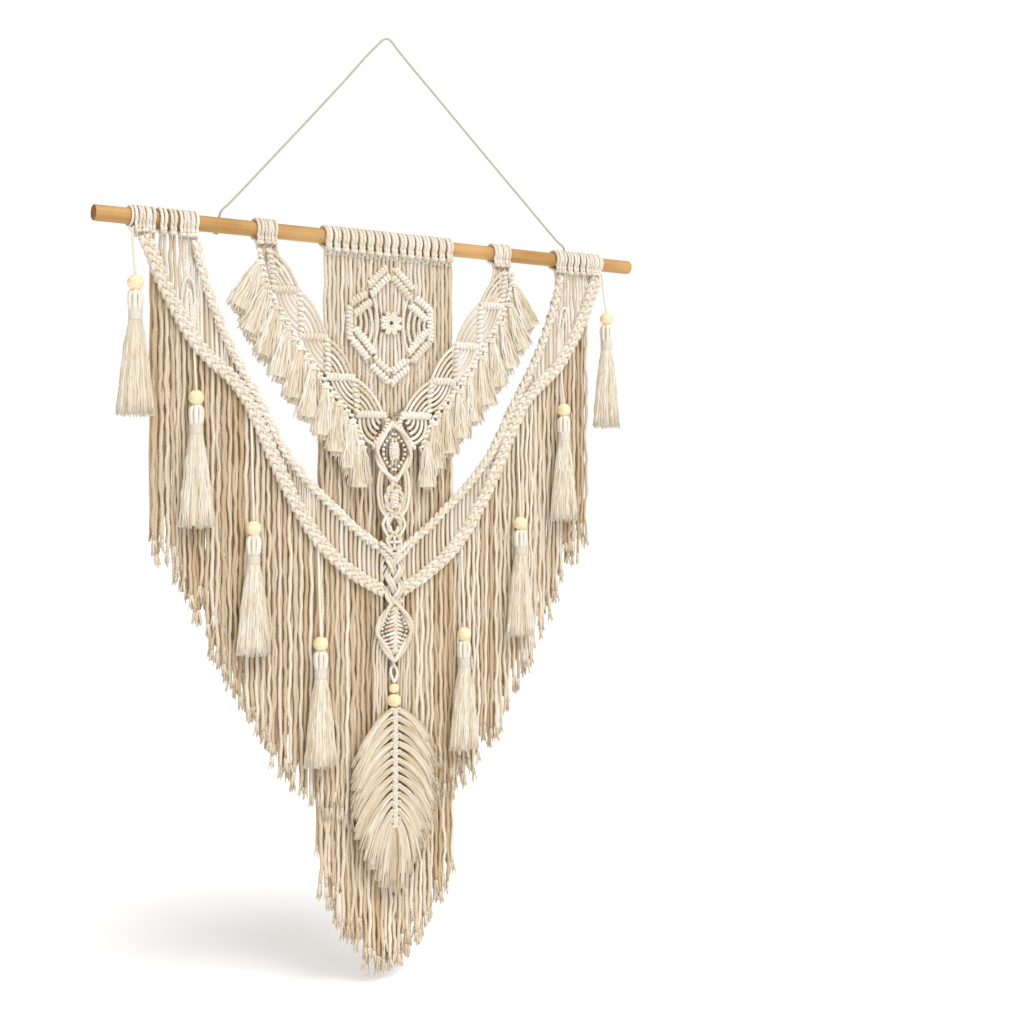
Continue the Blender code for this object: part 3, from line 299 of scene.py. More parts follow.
class Bundle:
    """Cords and threads that are joined into one mesh, or its mirror image."""

    def __init__(self, seed, mirrored=False):
        self.rng = np.random.default_rng(seed)
        self.mirrored = mirrored
        self.points, self.shades = [], []
        self.faces, self.places = [], []
        self.used = 0

    def add_tubes(self, rings, far, shades, scale=1.0):
        """Faces and texture places between the rings of one or more tubes.

        Rings is indexed by tube, ring and point, and far is the length along each tube in
        metres. The numbers of the first point of each tube are returned.
        """
        count, steps, sides = rings.shape[:3]
        first = self.used + steps * sides * np.arange(count)[:, None, None]
        ring = first + sides * np.arange(steps - 1)[None, :, None]
        side = np.arange(sides)[None, None]
        after = (side + 1) % sides
        quads = np.stack((ring + side, ring + after, ring + sides + after, ring + sides + side),
                         axis=-1)
        low = np.broadcast_to(far[:, :-1, None], quads.shape[:3])
        high = np.broadcast_to(far[:, 1:, None], quads.shape[:3])
        left = np.broadcast_to(side / sides * scale, quads.shape[:3])
        right = left + scale / sides
        places = np.stack((left, low, right, low, right, high, left, high), axis=-1)
        points = rings.reshape(-1, 3)
        self.points.append(points)
        self.shades.append(np.broadcast_to(shades, (len(points),)))
        self.faces.append(quads.reshape(-1, 4))
        self.places.append(places.reshape(-1, 4, 2))
        self.used += len(points)
        return first[:, 0]

    def cords(self, lines, radius, sides=7, shade=(0.25, 0.75)):
        """Round cords along lines; radius is one number, or one for each cord and point."""
        lines = np.asarray(lines, float)
        if lines.ndim == 2:
            lines = lines[None]
        count, steps = lines.shape[:2]
        radius = np.broadcast_to(radius, (count, steps))[..., None, None]
        across, deep = frames_along(lines)
        angle = (TURN * np.arange(sides) / sides)[:, None]
        ring = across[:, :, None] * np.cos(angle) + deep[:, :, None] * np.sin(angle)
        # each cord's shade is drawn at random from its range: random tone, and painted shade where
        # a low range is given to cords that lie behind or inside others
        shades = self.rng.uniform(*shade, count).repeat(steps * sides)
        start = self.rng.uniform(0.0, 0.1, (count, 1))
        first = self.add_tubes(lines[:, :, None] + ring * radius, travelled(lines) * MM + start,
                               shades)
        ends = np.arange(sides)
        caps = np.concatenate((first + ends[::-1], first + (steps - 1) * sides + ends))
        self.faces.append(caps)
        self.places.append(np.zeros((*caps.shape, 2)))

    def through(self, knots, radius, shade, sides=7, **spacing):
        """A cord on the smooth curve through a few places."""
        self.cords(smooth(knots, **spacing), radius, sides, shade)

    def surface(self, rings, shade=0.5, scale=(1.0, 1.0)):
        """A tube through rings of points; scale stretches its texture round it and along it."""
        far = travelled(rings[:, 0][None]) * MM * scale[1]
        self.add_tubes(rings[None], far, shade, scale[0])

    def mesh(self, name):
        """The mesh in metres, in the frame of the part, with its texture places and shades."""
        flip, order = (-1.0, slice(None, None, -1)) if self.mirrored else (1.0, slice(None))
        points = np.concatenate(self.points) * (flip, 1.0, 1.0)
        points = (points - (0.0, 0.0, HANGER_ABOVE_ROD)) * MM
        corners = np.concatenate([face[:, order].ravel() for face in self.faces])
        places = np.concatenate([place[:, order].reshape(-1, 2) for place in self.places])
        sizes = np.concatenate([np.full(len(face), face.shape[1]) for face in self.faces])
        mesh = bpy.data.meshes.new(name)
        mesh.vertices.add(len(points))
        mesh.vertices.foreach_set("co", points.astype(np.float32).ravel())
        mesh.loops.add(len(corners))
        mesh.loops.foreach_set("vertex_index", corners.astype(np.int32))
        mesh.polygons.add(len(sizes))
        mesh.polygons.foreach_set("loop_start", (np.cumsum(sizes) - sizes).astype(np.int32))
        mesh.update(calc_edges=True)
        layer = mesh.uv_layers.new(name="UVMap")
        layer.data.foreach_set("uv", places.astype(np.float32).ravel())
        shade = mesh.attributes.new("shade", "FLOAT", "POINT")
        shade.data.foreach_set("value", np.concatenate(self.shades).astype(np.float32))
        mesh.polygons.foreach_set("use_smooth", sizes == 4)
        if mesh.validate():
            raise RuntimeError(f"{name} has broken faces")
        triangles = int((sizes - 2).sum())
        if triangles > MOST_TRIANGLES:
            raise RuntimeError(f"{name} has {triangles} triangles")
        return mesh

    def make(self, name, node, finish):
        """The mesh as a piece that stands for a node of the frame."""
        mesh = self.mesh(name)
        mesh.materials.append(finish_named(finish))
        piece = bpy.data.objects.new(name, mesh)
        bpy.context.scene.collection.objects.link(piece)
        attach(piece, "root")
        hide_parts(node)
        return piece


def half_bundle(seed, side):
    """A bundle of the left half, or its mirror image with other random bends for the right."""
    return Bundle(seed + (side == "right"), mirrored=side == "right")


# ---- finishes ------------------------------------------------------------------------
PLIES = 3.0                     # in a twisted cord


class Nodes:
    """A tree of shader nodes while it is put together."""

    def __init__(self, tree):
        self.tree = tree

    def add(self, kind, inputs, output=0, **settings):
        """A node with its inputs linked or set, and its settings; its output is returned."""
        node = self.tree.nodes.new(kind)
        for setting, value in settings.items():
            setattr(node, setting, value)
        for socket, value in inputs.items():
            if isinstance(value, bpy.types.NodeSocket):
                self.tree.links.new(value, node.inputs[socket])
            else:
                node.inputs[socket].default_value = value
        return node.outputs[output]


class Finish(Nodes):
    """A node material while it is put together."""

    def __init__(self, name, roughness, sheen=0.0, specular=0.3):
        self.material = bpy.data.materials.new(name)
        self.material.use_nodes = True
        super().__init__(self.material.node_tree)
        self.shader = self.tree.nodes["Principled BSDF"]
        for socket, value in (("Roughness", roughness), ("Sheen Weight", sheen),
                              ("Sheen Roughness", 0.6), ("Sheen Tint", (1.0, 0.88, 0.68, 1.0)),
                              ("Specular IOR Level", specular)):
            self.shader.inputs[socket].default_value = value

    def math(self, operation, first, second=0.0):
        """A sum, product or the like of two values."""
        return self.add("ShaderNodeMath", {0: first, 1: second}, operation=operation)

    def mixture(self, *parts):
        """The sum of pairs of a value and its share."""
        shares = [self.math("MULTIPLY", value, share) for value, share in parts]
        total = shares.pop()
        while shares:
            total = self.math("ADD", shares.pop(), total)
        return total

    def place(self, source, scale=(1.0, 1.0, 1.0)):
        """Object or UV coordinates, stretched."""
        coordinates = self.add("ShaderNodeTexCoord", {}, source)
        return self.add("ShaderNodeMapping", {"Vector": coordinates, "Scale": scale})

    def part(self, vector, axis):
        """One coordinate of a vector."""
        return self.add("ShaderNodeSeparateXYZ", {0: vector}, axis)

    def noise(self, vector, scale, detail=3.0):
        """Soft, uneven patches between 0 and 1."""
        return self.add("ShaderNodeTexNoise", {"Vector": vector, "Scale": scale, "Detail": detail})

    def blend(self, share, first, second):
        """The first colour where the share is 0 and the second where it is 1."""
        return self.add("ShaderNodeMix", {"Factor": share, 6: first, 7: second}, 2,
                        data_type="RGBA")

    def spread(self, value, low, high):
        """The value stretched so that low becomes 0 and high becomes 1."""
        return self.add("ShaderNodeMapRange", {"Value": value, "From Min": low, "From Max": high})

    def cotton_body(self, colour, darkest_tone_and_shade, patch):
        """Cotton darkened by each cord's shade and by slow patches: random tone, and painted shade
        on cords that lie behind or inside others.
        """
        shade = self.add("ShaderNodeAttribute", {}, 2, attribute_name="shade")
        tone_and_shade = self.mixture((shade, 0.75), (patch, 0.35))
        # where tone and shade are low, the colour is darkened: partly random tone, partly painted
        # shade
        return self.blend(tone_and_shade, shaded(colour, darkest_tone_and_shade), (*colour, 1.0))

    def colour(self, socket):
        """The finish's colour."""
        self.tree.links.new(socket, self.shader.inputs["Base Color"])

    def relief(self, height, distance):
        """Fine relief of the surface, in metres."""
        bump = self.add("ShaderNodeBump", {"Height": height, "Distance": distance})
        self.tree.links.new(bump, self.shader.inputs["Normal"])


def shaded(colour, share):
    """A colour darkened and warmed to a share of itself: painted shade on the cotton, and darker
    real marks such as wood grain, pores and knots.
    """
    return (colour[0] * share, colour[1] * share ** 1.6, colour[2] * share ** 2.8, 1.0)


def twisted_cotton(name, colour, lay, depth, groove_shade_share=0.66, side=0.56):
    """Three-ply twisted cotton cord; lay is the length of one turn in metres.

    Groove and side are the shares of the colour kept in the painted shade between the plies and
    where cords meet.
    """
    finish = Finish(name, roughness=0.9, sheen=0.08, specular=0.12)
    place = finish.place("UV", (PLIES, PLIES / lay, 1.0))
    phase = finish.math("ADD", finish.part(place, "X"), finish.part(place, "Y"))
    ply = finish.math("ABSOLUTE", finish.math("SINE", finish.math("MULTIPLY", phase, math.pi)))
    ply = finish.math("POWER", ply, 0.6)
    fibre = finish.noise(finish.place("UV", (9.0, 500.0, 1.0)), 2.2)
    fuzz = finish.noise(finish.place("Object", (1.0, 1.0, 0.6)), 1900.0, 2.0)
    patch = finish.noise(finish.place("Object", (1.0, 1.0, 0.35)), 34.0)
    body = finish.cotton_body(colour, side, patch)
    # painted shade in the grooves between the plies
    painted_groove_shade = finish.blend(finish.spread(ply, 0.0, 0.62), shaded(colour, groove_shade_share), body)
    finish.colour(finish.blend(finish.math("MULTIPLY", fibre, 0.22), painted_groove_shade,
                               shaded(colour, 0.78)))
    finish.relief(finish.mixture((ply, 0.75), (fibre, 0.22), (fuzz, 0.16)), depth)
    return finish.material


def combed_cotton(name, colour):
    """Cotton combed out into loose threads."""
    finish = Finish(name, roughness=0.85, sheen=0.1, specular=0.15)
    threads = finish.noise(finish.place("UV", (7.0, 30.0, 1.0)), 3.0)
    patch = finish.noise(finish.place("Object", (1.0, 1.0, 0.3)), 60.0)
    # 0.66 is the share of the colour kept in the painted shade of threads behind or inside others
    body = finish.cotton_body(colour, 0.66, patch)
    finish.colour(finish.blend(finish.math("MULTIPLY", threads, 0.3), body, shaded(colour, 0.72)))
    finish.relief(threads, 0.0003)
    return finish.material


def rod_wood(name, colour):
    """Smooth, lightly oiled stick with long grain, small pin knots and darker ends."""
    finish = Finish(name, roughness=0.5)
    streaks = finish.noise(finish.place("Object", (5.0, 260.0, 260.0)), 1.0, 6.0)
    broad = finish.noise(finish.place("Object", (9.0, 30.0, 30.0)), 1.0, 2.0)
    pores = finish.noise(finish.place("Object", (60.0, 1500.0, 1500.0)), 1.0, 2.0)
    light = (min(1.0, colour[0] * 1.25), colour[1] * 1.32, colour[2] * 1.45, 1.0)
    body = finish.blend(finish.spread(streaks, 0.3, 0.7), shaded(colour, 0.78), (*colour, 1.0))
    body = finish.blend(finish.spread(broad, 0.35, 0.75), body, light)
    body = finish.blend(finish.spread(pores, 0.66, 0.8), body, shaded(colour, 0.55))
    spot = finish.add("ShaderNodeTexCoord", {}, "Object")
    for x, z, size in ROD_KNOTS:
        knot = (x * MM, -ROD_RADIUS * MM * 0.8, (z - HANGER_ABOVE_ROD) * MM)
        away = finish.add("ShaderNodeVectorMath", {0: spot, 1: knot}, 1, operation="DISTANCE")
        near = finish.spread(away, size * MM, size * MM * 0.45)
        body = finish.blend(near, body, shaded(colour, 0.32))
    middle = finish.math("SUBTRACT", finish.part(spot, "X"), ROD_MIDDLE_X * MM)
    rim = ROD_LENGTH / 2 * MM
    cut = finish.spread(finish.math("ABSOLUTE", middle), rim - 0.0012, rim - 0.0006)
    finish.colour(finish.blend(cut, body, shaded(colour, 0.55)))
    finish.relief(finish.math("ADD", streaks, finish.math("MULTIPLY", pores, 0.4)), 0.0002)
    return finish.material


def bead_wood(name, colour):
    """Pale turned wood with fine rings round the bead."""
    finish = Finish(name, roughness=0.5, specular=0.4)
    grain = finish.noise(finish.place("Object", (90.0, 90.0, 420.0)), 1.0, 4.0)
    patch = finish.noise(finish.place("Object", (50.0, 50.0, 50.0)), 1.0, 2.0)
    body = finish.blend(finish.spread(grain, 0.35, 0.7), (*colour, 1.0), shaded(colour, 0.84))
    finish.colour(finish.blend(finish.math("MULTIPLY", patch, 0.3), body, shaded(colour, 0.9)))
    finish.relief(grain, 0.0001)
    return finish.material


def floor_finish(name, colour, glow):
    """A matt, even floor that gives off a little light."""
    finish = Finish(name, roughness=0.8)
    finish.shader.inputs["Emission Color"].default_value = (1.0, 1.0, 1.0, 1.0)
    finish.shader.inputs["Emission Strength"].default_value = glow
    cloudy = finish.noise(finish.place("Object"), 1.5)
    finish.colour(finish.blend(finish.math("MULTIPLY", cloudy, 0.04), (*colour, 1.0),
                               shaded(colour, 0.95)))
    return finish.material


def finish_named(name):
    """One of the hanging's finishes, made the first time it is asked for."""
    if name in bpy.data.materials:
        return bpy.data.materials[name]
    scene = bpy.context.scene
    colours = scene.hanging_colours
    lay, relief = scene.hanging_sizes.cord_lay, scene.hanging_sizes.cord_relief
    finishes = {
        # for twisted cord, the two numbers after the relief are the shares of the colour kept in
        # the painted shade between the plies and where cords meet
        "twisted_cotton": (twisted_cotton, colours.cord, lay, relief),
        "fringe_cotton": (twisted_cotton, colours.fringe, lay, relief, 0.6, 0.46),
        "string_cotton": (twisted_cotton, colours.string, lay * 0.5, relief * 0.25, 0.9, 0.9),
        "combed_cotton": (combed_cotton, colours.combed),
        "feather_cotton": (combed_cotton, colours.feather),
        "rod_wood": (rod_wood, colours.rod),
        "bead_wood": (bead_wood, colours.bead),
        "pale_floor": (floor_finish, colours.floor, scene.hanging_lights.floor_glow),
    }
    make_finish, *values = finishes[name]
    return make_finish(name, *values)


# ---- lark's heads, wound bars and frayed ends ----------------------------------------
# how bars are wound: pitch, half width, half depth and the radius of the cord
DIAMOND_WINDING = (6.2, 3.1, 2.3, 3.3)
REAR_STRIP_WINDING = (7.0, 1.6, 1.2, 2.2)
LEVEL_WINDING = (5.5, 3.1, 2.5, 2.9)        # the garland's level bars
UPRIGHT_WINDING = (7.4, 2.7, 2.4, 2.75)     # its upright bars
TAIL_WINDING = (5.9, 2.4, 2.2, 2.3)         # its end
TUFT_LINE_WINDING = (8.4, 2.0, 2.4, 2.1)
# plaits: number of strands, length of one crossing over, half width and half depth
OUTER_PLAIT = (5, 60.0, 6.7, 2.9)
INNER_PLAIT = (3, 34.0, 3.6, 2.5)
CROSSING_PLAIT = (3, 82.0, 10.0, 3.6)
DIAMOND_CORE_PLAIT = (2, 11.0, 1.7, 1.4)
SPINE_PLAIT = (3, 17.0, 2.6, 1.9)

HEAD_CORD = 2.75                # radius of the cord that these tables are drawn for
HEAD_SPREAD = 2.95              # from the middle of a head to each of its two wraps
HEAD_ENDS = 2.9                 # from the middle of a head to each of its two ends
HEADS_BOTTOM = -23.0
ANY_PHASE = 6.3                 # a random start within one turn is drawn from 0 to this
# one wrap of a lark's head: x from the head's middle, then y and z, before and after its turn
HEAD_TAIL = ((-2.8, -7.0, -28.0), (-2.9, -6.6, -21.5), (-3.2, -3.2, -16.4))
HEAD_FOOT = ((-2.5, -11.9, -13.4), (-2.0, -10.2, -18.6))
# first and last angle of that turn, from below the rod towards the back, and number of points
HEAD_TURN = (12, 312, 13)
# the bight that lies across both wraps, below the rod
HEAD_BIGHT = ((-3.2, -7.6, -18.4), (-3.1, -12.0, -19.0), (-1.6, -14.4, -19.4), (0.0, -14.8, -19.5),
              (1.6, -14.4, -19.4), (3.1, -12.0, -19.0), (3.2, -7.6, -18.4))


def add_heads(bundle, middles, radius=HEAD_CORD):
    """Folded cords looped round the rod, each with its bight in front of its two ends."""
    angle = np.radians(np.linspace(*HEAD_TURN))
    for x in middles:
        spread = HEAD_SPREAD + bundle.rng.uniform(-0.2, 0.2)
        narrow = spread - 0.5 * ease(np.degrees(angle) - 220.0, 90.0)
        wrap = np.stack((-narrow, HEAD_LINE * np.sin(angle), -HEAD_LINE * np.cos(angle)), axis=1)
        half = np.concatenate((HEAD_TAIL, wrap, HEAD_FOOT))
        drop = (x + bundle.rng.uniform(-0.3, 0.3), 0.0, bundle.rng.uniform(-0.7, 0.3))
        for side in (1, -1):
            bundle.through(half * (side, 1, 1) + (drop[0], 0.0, 0.0), radius, (0.5, 1.0), 8,
                           count=34)
        bight = smooth(HEAD_BIGHT, count=14) * (radius / HEAD_CORD, 1, 1) + drop
        bundle.cords(bight, radius * 1.05, sides=8, shade=(0.3, 1.0))


def add_bar(bundle, path, pitch, wide, deep, radius, core=2.6):
    """A bar of half hitches: a cord wound tightly round a carrying cord."""
    line = wind(path, pitch, wide, deep, bundle.rng.uniform(0, ANY_PHASE))
    swell = 1 + 0.08 * np.sin(np.arange(len(line)) * 0.37 + bundle.rng.uniform(0, ANY_PHASE))
    bundle.cords(line, radius * swell, shade=(0.55, 1.0))
    # the carrying cord inside, painted darker as shade under the windings
    bundle.cords(path, core, sides=6, shade=(0.2, 0.4))


FRAYED_LENGTH = 20.0
FRAYED_THREADS = 6              # at the end of each cord
FRAYED_RADIUS = 1.5 * np.array((1.15, 1.05, 0.95, 0.8, 0.45))
FRAYED_SPREAD = 3.6


def fray(bundle, end, direction):
    """Loose threads at the cut end of a cord."""
    turn = np.arange(FRAYED_THREADS) / FRAYED_THREADS * TURN
    turn = turn + bundle.rng.uniform(-0.6, 0.6, len(turn))
    reach = FRAYED_LENGTH * bundle.rng.uniform(0.7, 1.1, len(turn))
    opening = FRAYED_SPREAD * bundle.rng.uniform(0.3, 1.2, len(turn))
    out = np.stack((np.cos(turn), 0.7 * np.sin(turn), np.zeros(len(turn))), axis=1)
    share = np.linspace(0.0, 1.0, len(FRAYED_RADIUS))[None, :, None]
    lines = (end + out[:, None] * (1.3 + opening[:, None, None] * share ** 1.2)
             + direction * reach[:, None, None] * share)
    bundle.cords(lines, FRAYED_RADIUS[None], sides=4, shade=(0.3, 1.0))


def hanging_strands(bundle, tops, feet, light, sway=(1.7, 0.9), step=9.0, radius=2.75, sides=7):
    """Loose strands from their tops to their frayed feet, each a little different."""
    loose = bpy.context.scene.hanging_sizes.looseness
    for top, foot in zip(tops, feet):
        count = max(6, int(np.linalg.norm(foot - top) / step))
        share = np.linspace(0.0, 1.0, count)[:, None]
        line = (top * (1 - share) + foot * share)[None]
        line = wander(line, bundle.rng, (sway[0] * loose, sway[1] * loose), 125.0, reach=60.0)
        swell = 1 + 0.09 * np.sin(np.arange(count) * 1.9 + bundle.rng.uniform(0, ANY_PHASE))
        swell = swell * bundle.rng.uniform(0.84, 1.08)
        # light is the top of the shade range: lower for the layers behind, which are painted darker
        # as shade
        bundle.cords(line, (radius * swell)[None], sides=sides, shade=(0.0, light))
        fray(bundle, line[0, -1], unit(line[0, -1] - line[0, -3]))


def add_fringe_layer(bundle, layer, x, hung, y, top, hem, set_back=0.0):
    """Strands from the tops at x to the hem at hung; each layer further back is painted darker as
    shade, and the third is thick, dark strands that fill in behind the others as painted shade.
    """
    tops = np.stack((x, np.full(len(x), y - set_back), top), axis=1)
    feet = np.stack((hung, np.full(len(x), y), hem), axis=1)
    if layer < 2:
        hanging_strands(bundle, tops, feet, 1.0 - 0.25 * layer)
    else:
        # thick, dark strands: painted shade behind the gaps of the fringe
        hanging_strands(bundle, tops, feet, 0.3, (0.8, 0.5), step=18.0, radius=3.6, sides=5)


def uneven_hem(rng, hem, ragged):
    """Hem heights with ordinary unevenness, and some strands cut well above the rest."""
    short = rng.uniform(12.0, 48.0, len(hem)) * (rng.uniform(0, 1, len(hem)) < 0.3)
    return hem + rng.normal(0.0, ragged, len(hem)) + short


# ---- camera, string and rod ----------------------------------------------------------
def set_camera():
    """The camera at the photograph's angle."""
    lens = bpy.data.cameras.new("camera")
    lens.lens = CAMERA_LENS
    lens.sensor_width = 36.0
    lens.shift_y = CAMERA_SHIFT
    camera = bpy.data.objects.new("camera", lens)
    camera.location = CAMERA_PLACE
    camera.rotation_euler = [math.radians(angle) for angle in CAMERA_TURN]
    bpy.context.scene.collection.objects.link(camera)
    bpy.context.scene.camera = camera


def string_heading():
    """Direction in which the string leaves the back of the rod."""
    return unit(np.array((0.0, STRING_EXIT[0] - STRING_MOUTH[0], STRING_EXIT[1] - STRING_MOUTH[1])))


def string_line():
    """Route of the string: out of its left knot, through the rod, up to its top and back."""
    along = string_heading()
    top = np.array((0.0, 0.0, STRING_TOP))
    halves = []
    for side, x in zip((-1, 1), STRING_ENDS):
        mouth = np.array((x, *STRING_MOUTH))
        leave = np.array((x, *STRING_EXIT))
        corner = mouth - along * STRING_BEND
        shoulder = top + (side * STRING_SHOULDER[0], 0, STRING_SHOULDER[1])
        half = [leave + along * 2.2, (leave + mouth) / 2, mouth - along * 2.0,
                corner + (side * -1.6, 0.2, 2.6)]
        for share, sag in STRING_SPAN:
            half.append(corner + (shoulder - corner) * share - (0, 0, sag))
        half += [shoulder, top + (side * STRING_BROW[0], 0, STRING_BROW[1])]
        halves.append(half)
    route = np.array([*halves[0], top, *reversed(halves[1])])
    return smooth(route, step=2.2)


def make_string():
    """The twisted string from knot to knot, and the stopper knots behind the rod."""
    line = string_line()
    for name, x in zip(("left", "right"), STRING_ENDS):
        make_stopper_knot(f"stopper_{name}", f"hanger_knot_{name}", x)
    bundle = Bundle(1)
    bundle.cords(line, STRING / 2, sides=10, shade=(0.5, 0.5))
    piece = bundle.make("hanging_string", "hanger_cord", "string_cotton")


def make_stopper_knot(name, node, x):
    """An overhand knot in the string, pulled tight."""
    along = string_heading()
    across = np.array((1.0, 0.0, 0.0))
    third = np.cross(along, across)
    middle = np.array((x, *STRING_EXIT)) + along * STRING_KNOT_BEYOND_EXIT
    t = np.linspace(0.0, TURN, 49)[:-1, None]
    size = (STRING_KNOT_RADIUS - STRING / 2) / 3.0
    loop = (across * (np.sin(t) + 2 * np.sin(2 * t)) + third * (np.cos(t) - 2 * np.cos(2 * t))
            - along * np.sin(3 * t) * 1.2) * size
    bundle = Bundle(int(abs(x)))
    bundle.cords(middle + np.concatenate((loop, loop[:2])), STRING / 2, 8, (0.4, 0.6))
    return bundle.make(name, node, "string_cotton")


def make_rod():
    """The stick, turned slightly thinner to the right and a little uneven, with eased ends."""
    left, right = ROD_MIDDLE_X - ROD_LENGTH / 2, ROD_MIDDLE_X + ROD_LENGTH / 2
    body = np.linspace(left + 14.0, right - 14.0, 110)
    places = [(left + inset, share) for inset, share in ROD_END]
    places += [(x, 1.0) for x in body]
    places += [(right - inset, share) for inset, share in reversed(ROD_END)]
    angle = TURN * np.arange(ROD_SIDES) / ROD_SIDES
    rows = []
    for x, share in places:
        thin = (x - ROD_MIDDLE_X) / ROD_LENGTH + 0.5
        radius = (ROD_RADIUS + (ROD_RIGHT_RADIUS - ROD_RADIUS) * thin) * share
        uneven = 1 + 0.006 * np.sin(x * 0.031 + 2 * angle) - 0.006
        rows.append(np.stack((np.full(ROD_SIDES, x), radius * uneven * np.sin(angle),
                              radius * uneven * np.cos(angle)), axis=1))
    bundle = Bundle(2)
    bundle.surface(np.array(rows))
    bundle.make("turned_rod", "rod", "rod_wood")


# ---- centre panel and the long fringe ------------------------------------------------
def make_centre_panel():
    """The heads, the double diamond round its flower, and the strands that hang from them."""
    bundle = Bundle(11)
    pitch = 2 * CENTRE_HALF_WIDTH / CENTRE_HEADS
    middles = -CENTRE_HALF_WIDTH + pitch * (np.arange(CENTRE_HEADS) + 0.5)
    add_heads(bundle, middles)
    for x in sorted([*(middles - HEAD_ENDS), *(middles + HEAD_ENDS)]):
        place = round((x + CENTRE_HALF_WIDTH) / (pitch / 2) - 0.5) * pitch / 2
        hung = place + pitch / 4 - CENTRE_HALF_WIDTH
        foot = rear_strip_z(hung)
        if abs(hung) > DIAMOND_SIDE:
            add_plain_strand(bundle, x, hung, HEADS_BOTTOM, foot + 2.0)
        else:
            add_plain_strand(bundle, x, hung, HEADS_BOTTOM, between(INNER_UPPER, abs(hung)))
            add_plain_strand(bundle, hung, hung, between(INNER_LOWER, abs(hung)), foot + 2.0)
        # dark strands behind the panel: painted shade seen through its gaps
        behind = hung + pitch / 4
        add_plain_strand(bundle, behind, behind, HEADS_BOTTOM, foot, PANEL_Y + 5.6, (0.0, 0.3))
    add_diamond(bundle)
    add_gathered_strands(bundle)
    add_flower(bundle)
    bundle.make("knotted_centre_panel", "centre_panel", "twisted_cotton")


# the diamond's bars of half hitches: x and z of both ends, on the left side
DIAMOND_SIDE = 70.0
DIAMOND_BARS = ((-7, -39, -37, -67), (-1, -50, -33, -80), (-40, -79, -67, -96),
                (-34, -91, -62, -112), (-62, -129, -29, -164), (-66, -146, -37, -176),
                (-28, -173, -1, -193), (-32, -184, -1, -209), (-68.5, -97, -68.5, -146))
# the edges of the field inside those bars, x and z, above and below
INNER_UPPER = ((0, -52), (33, -81), (34, -91), (62, -112), (70, -119))
INNER_LOWER = ((0, -191), (28, -172), (29, -164), (62, -129), (70, -122))
NESTED_ARCS = (60.5, 53.0, 45.5, 38.0, 30.5)
# strands gathered towards the flower: x, share of x beside it, and how far from it they end
GATHERED = ((3.3, 0.82, 13.0), (10.0, 0.82, 13.0), (16.8, 0.82, 13.0), (23.6, 0.98, 6.0))
PANEL_CORD = 2.85               # radius of the panel's strands
PETALS = 8
PETAL_RING = 12.0               # from the middle of the flower to the middle of a petal


def rear_strip_z(x):
    """Height of the strip from which the long fringe hangs."""
    share = min(1.0, abs(x) / REAR_STRIP_EDGE[0])
    return REAR_STRIP_MIDDLE_Z + (REAR_STRIP_EDGE[1] - REAR_STRIP_MIDDLE_Z) * share


def add_plain_strand(bundle, x, hung, top_z, end_z, y=PANEL_Y + 0.8, shade=(0.1, 0.85)):
    """A strand of the panel from one height to another, held at both ends."""
    knots = [(x, y + 0.5, top_z), (x * 0.6 + hung * 0.4, y, top_z * 0.85 + end_z * 0.15),
             (hung, y, top_z * 0.6 + end_z * 0.4), (hung, y, end_z)]
    line = wander(smooth(knots, step=7.0)[None], bundle.rng, (0.9, 0.6), 70.0, 14.0, True)
    bundle.cords(line, PANEL_CORD * bundle.rng.uniform(0.93, 1.05), shade=shade)


def add_diamond(bundle):
    """Two staggered rows of half hitches on each side, and the arcs nested in its side corners."""
    for x0, z0, x1, z1 in DIAMOND_BARS:
        for side in (1, -1):
            bow = 1.5 * bundle.rng.uniform(0.4, 1.0)
            bar = ((x0, z0), ((x0 + x1) / 2, (z0 + z1) / 2 + bow), (x1, z1))
            add_bar(bundle, smooth(in_plane(bar, PANEL_Y - 3.0, side)), *DIAMOND_WINDING)
    for number, x in enumerate(NESTED_ARCS):
        top, foot = between(INNER_UPPER, x), between(INNER_LOWER, x)
        bulge = 2.5 + 1.7 * number
        arc = ((x, top), (x - bulge * 0.8, top * 0.7 + foot * 0.3), (x - bulge, (top + foot) / 2),
               (x - bulge * 0.8, top * 0.3 + foot * 0.7), (x, foot))
        for side in (1, -1):
            bundle.through(in_plane(arc, PANEL_Y - 1.6, side), 2.6, (0.4, 0.9), step=4.0)


def add_gathered_strands(bundle):
    """Strands drawn together towards the flower; the outer pair passes beside it."""
    for x, close, gap in GATHERED:
        upper = ((x, between(INNER_UPPER, x)), (x, between(INNER_UPPER, x) - 12),
                 (x * close, ROSETTE_Z + gap))
        lower = ((x * close, ROSETTE_Z - gap), (x, between(INNER_LOWER, x) + 14),
                 (x, between(INNER_LOWER, x)))
        for side in (1, -1):
            above, below = (smooth(in_plane(half, PANEL_Y, side), step=5.0)
                            for half in (upper, lower))
            if x == GATHERED[-1][0]:
                bundle.through(np.concatenate((above, below)), 2.65, (0.3, 0.9), step=6.0)
            else:
                bundle.cords(below, 2.65, shade=(0.3, 0.9))
                bundle.cords(above, 2.65, shade=(0.3, 0.9))


def add_flower(bundle):
    """Puffed loops of cord round the small hole in the middle of the diamond."""
    for number in range(PETALS):
        turn = TURN * (number + 0.5) / PETALS
        out = np.array((math.sin(turn), 0.0, math.cos(turn)))
        across = np.array((math.cos(turn), 0.0, -math.sin(turn)))
        t = np.linspace(0, TURN, 15)[:, None]
        middle = np.array((0.0, PANEL_Y - 4.0, ROSETTE_Z)) + out * PETAL_RING
        petal = middle + out * 5.2 * np.cos(t) + across * 2.5 * np.sin(t)
        petal[:, 1] -= 1.4 * np.cos(t[:, 0] * 0.5) ** 2
        bundle.cords(petal, 2.5, sides=8, shade=(0.7, 1.0))
        pearl = middle + out * np.array((-3.2, 0.0, 3.2))[:, None]
        bundle.through(pearl, 2.4, (0.4, 0.8), count=6)
    rim = small_loop((0.0, PANEL_Y - 5.4, ROSETTE_Z), (4.8, 0.0, 4.8), 21)
    bundle.cords(rim, 1.9, shade=(0.6, 1.0))


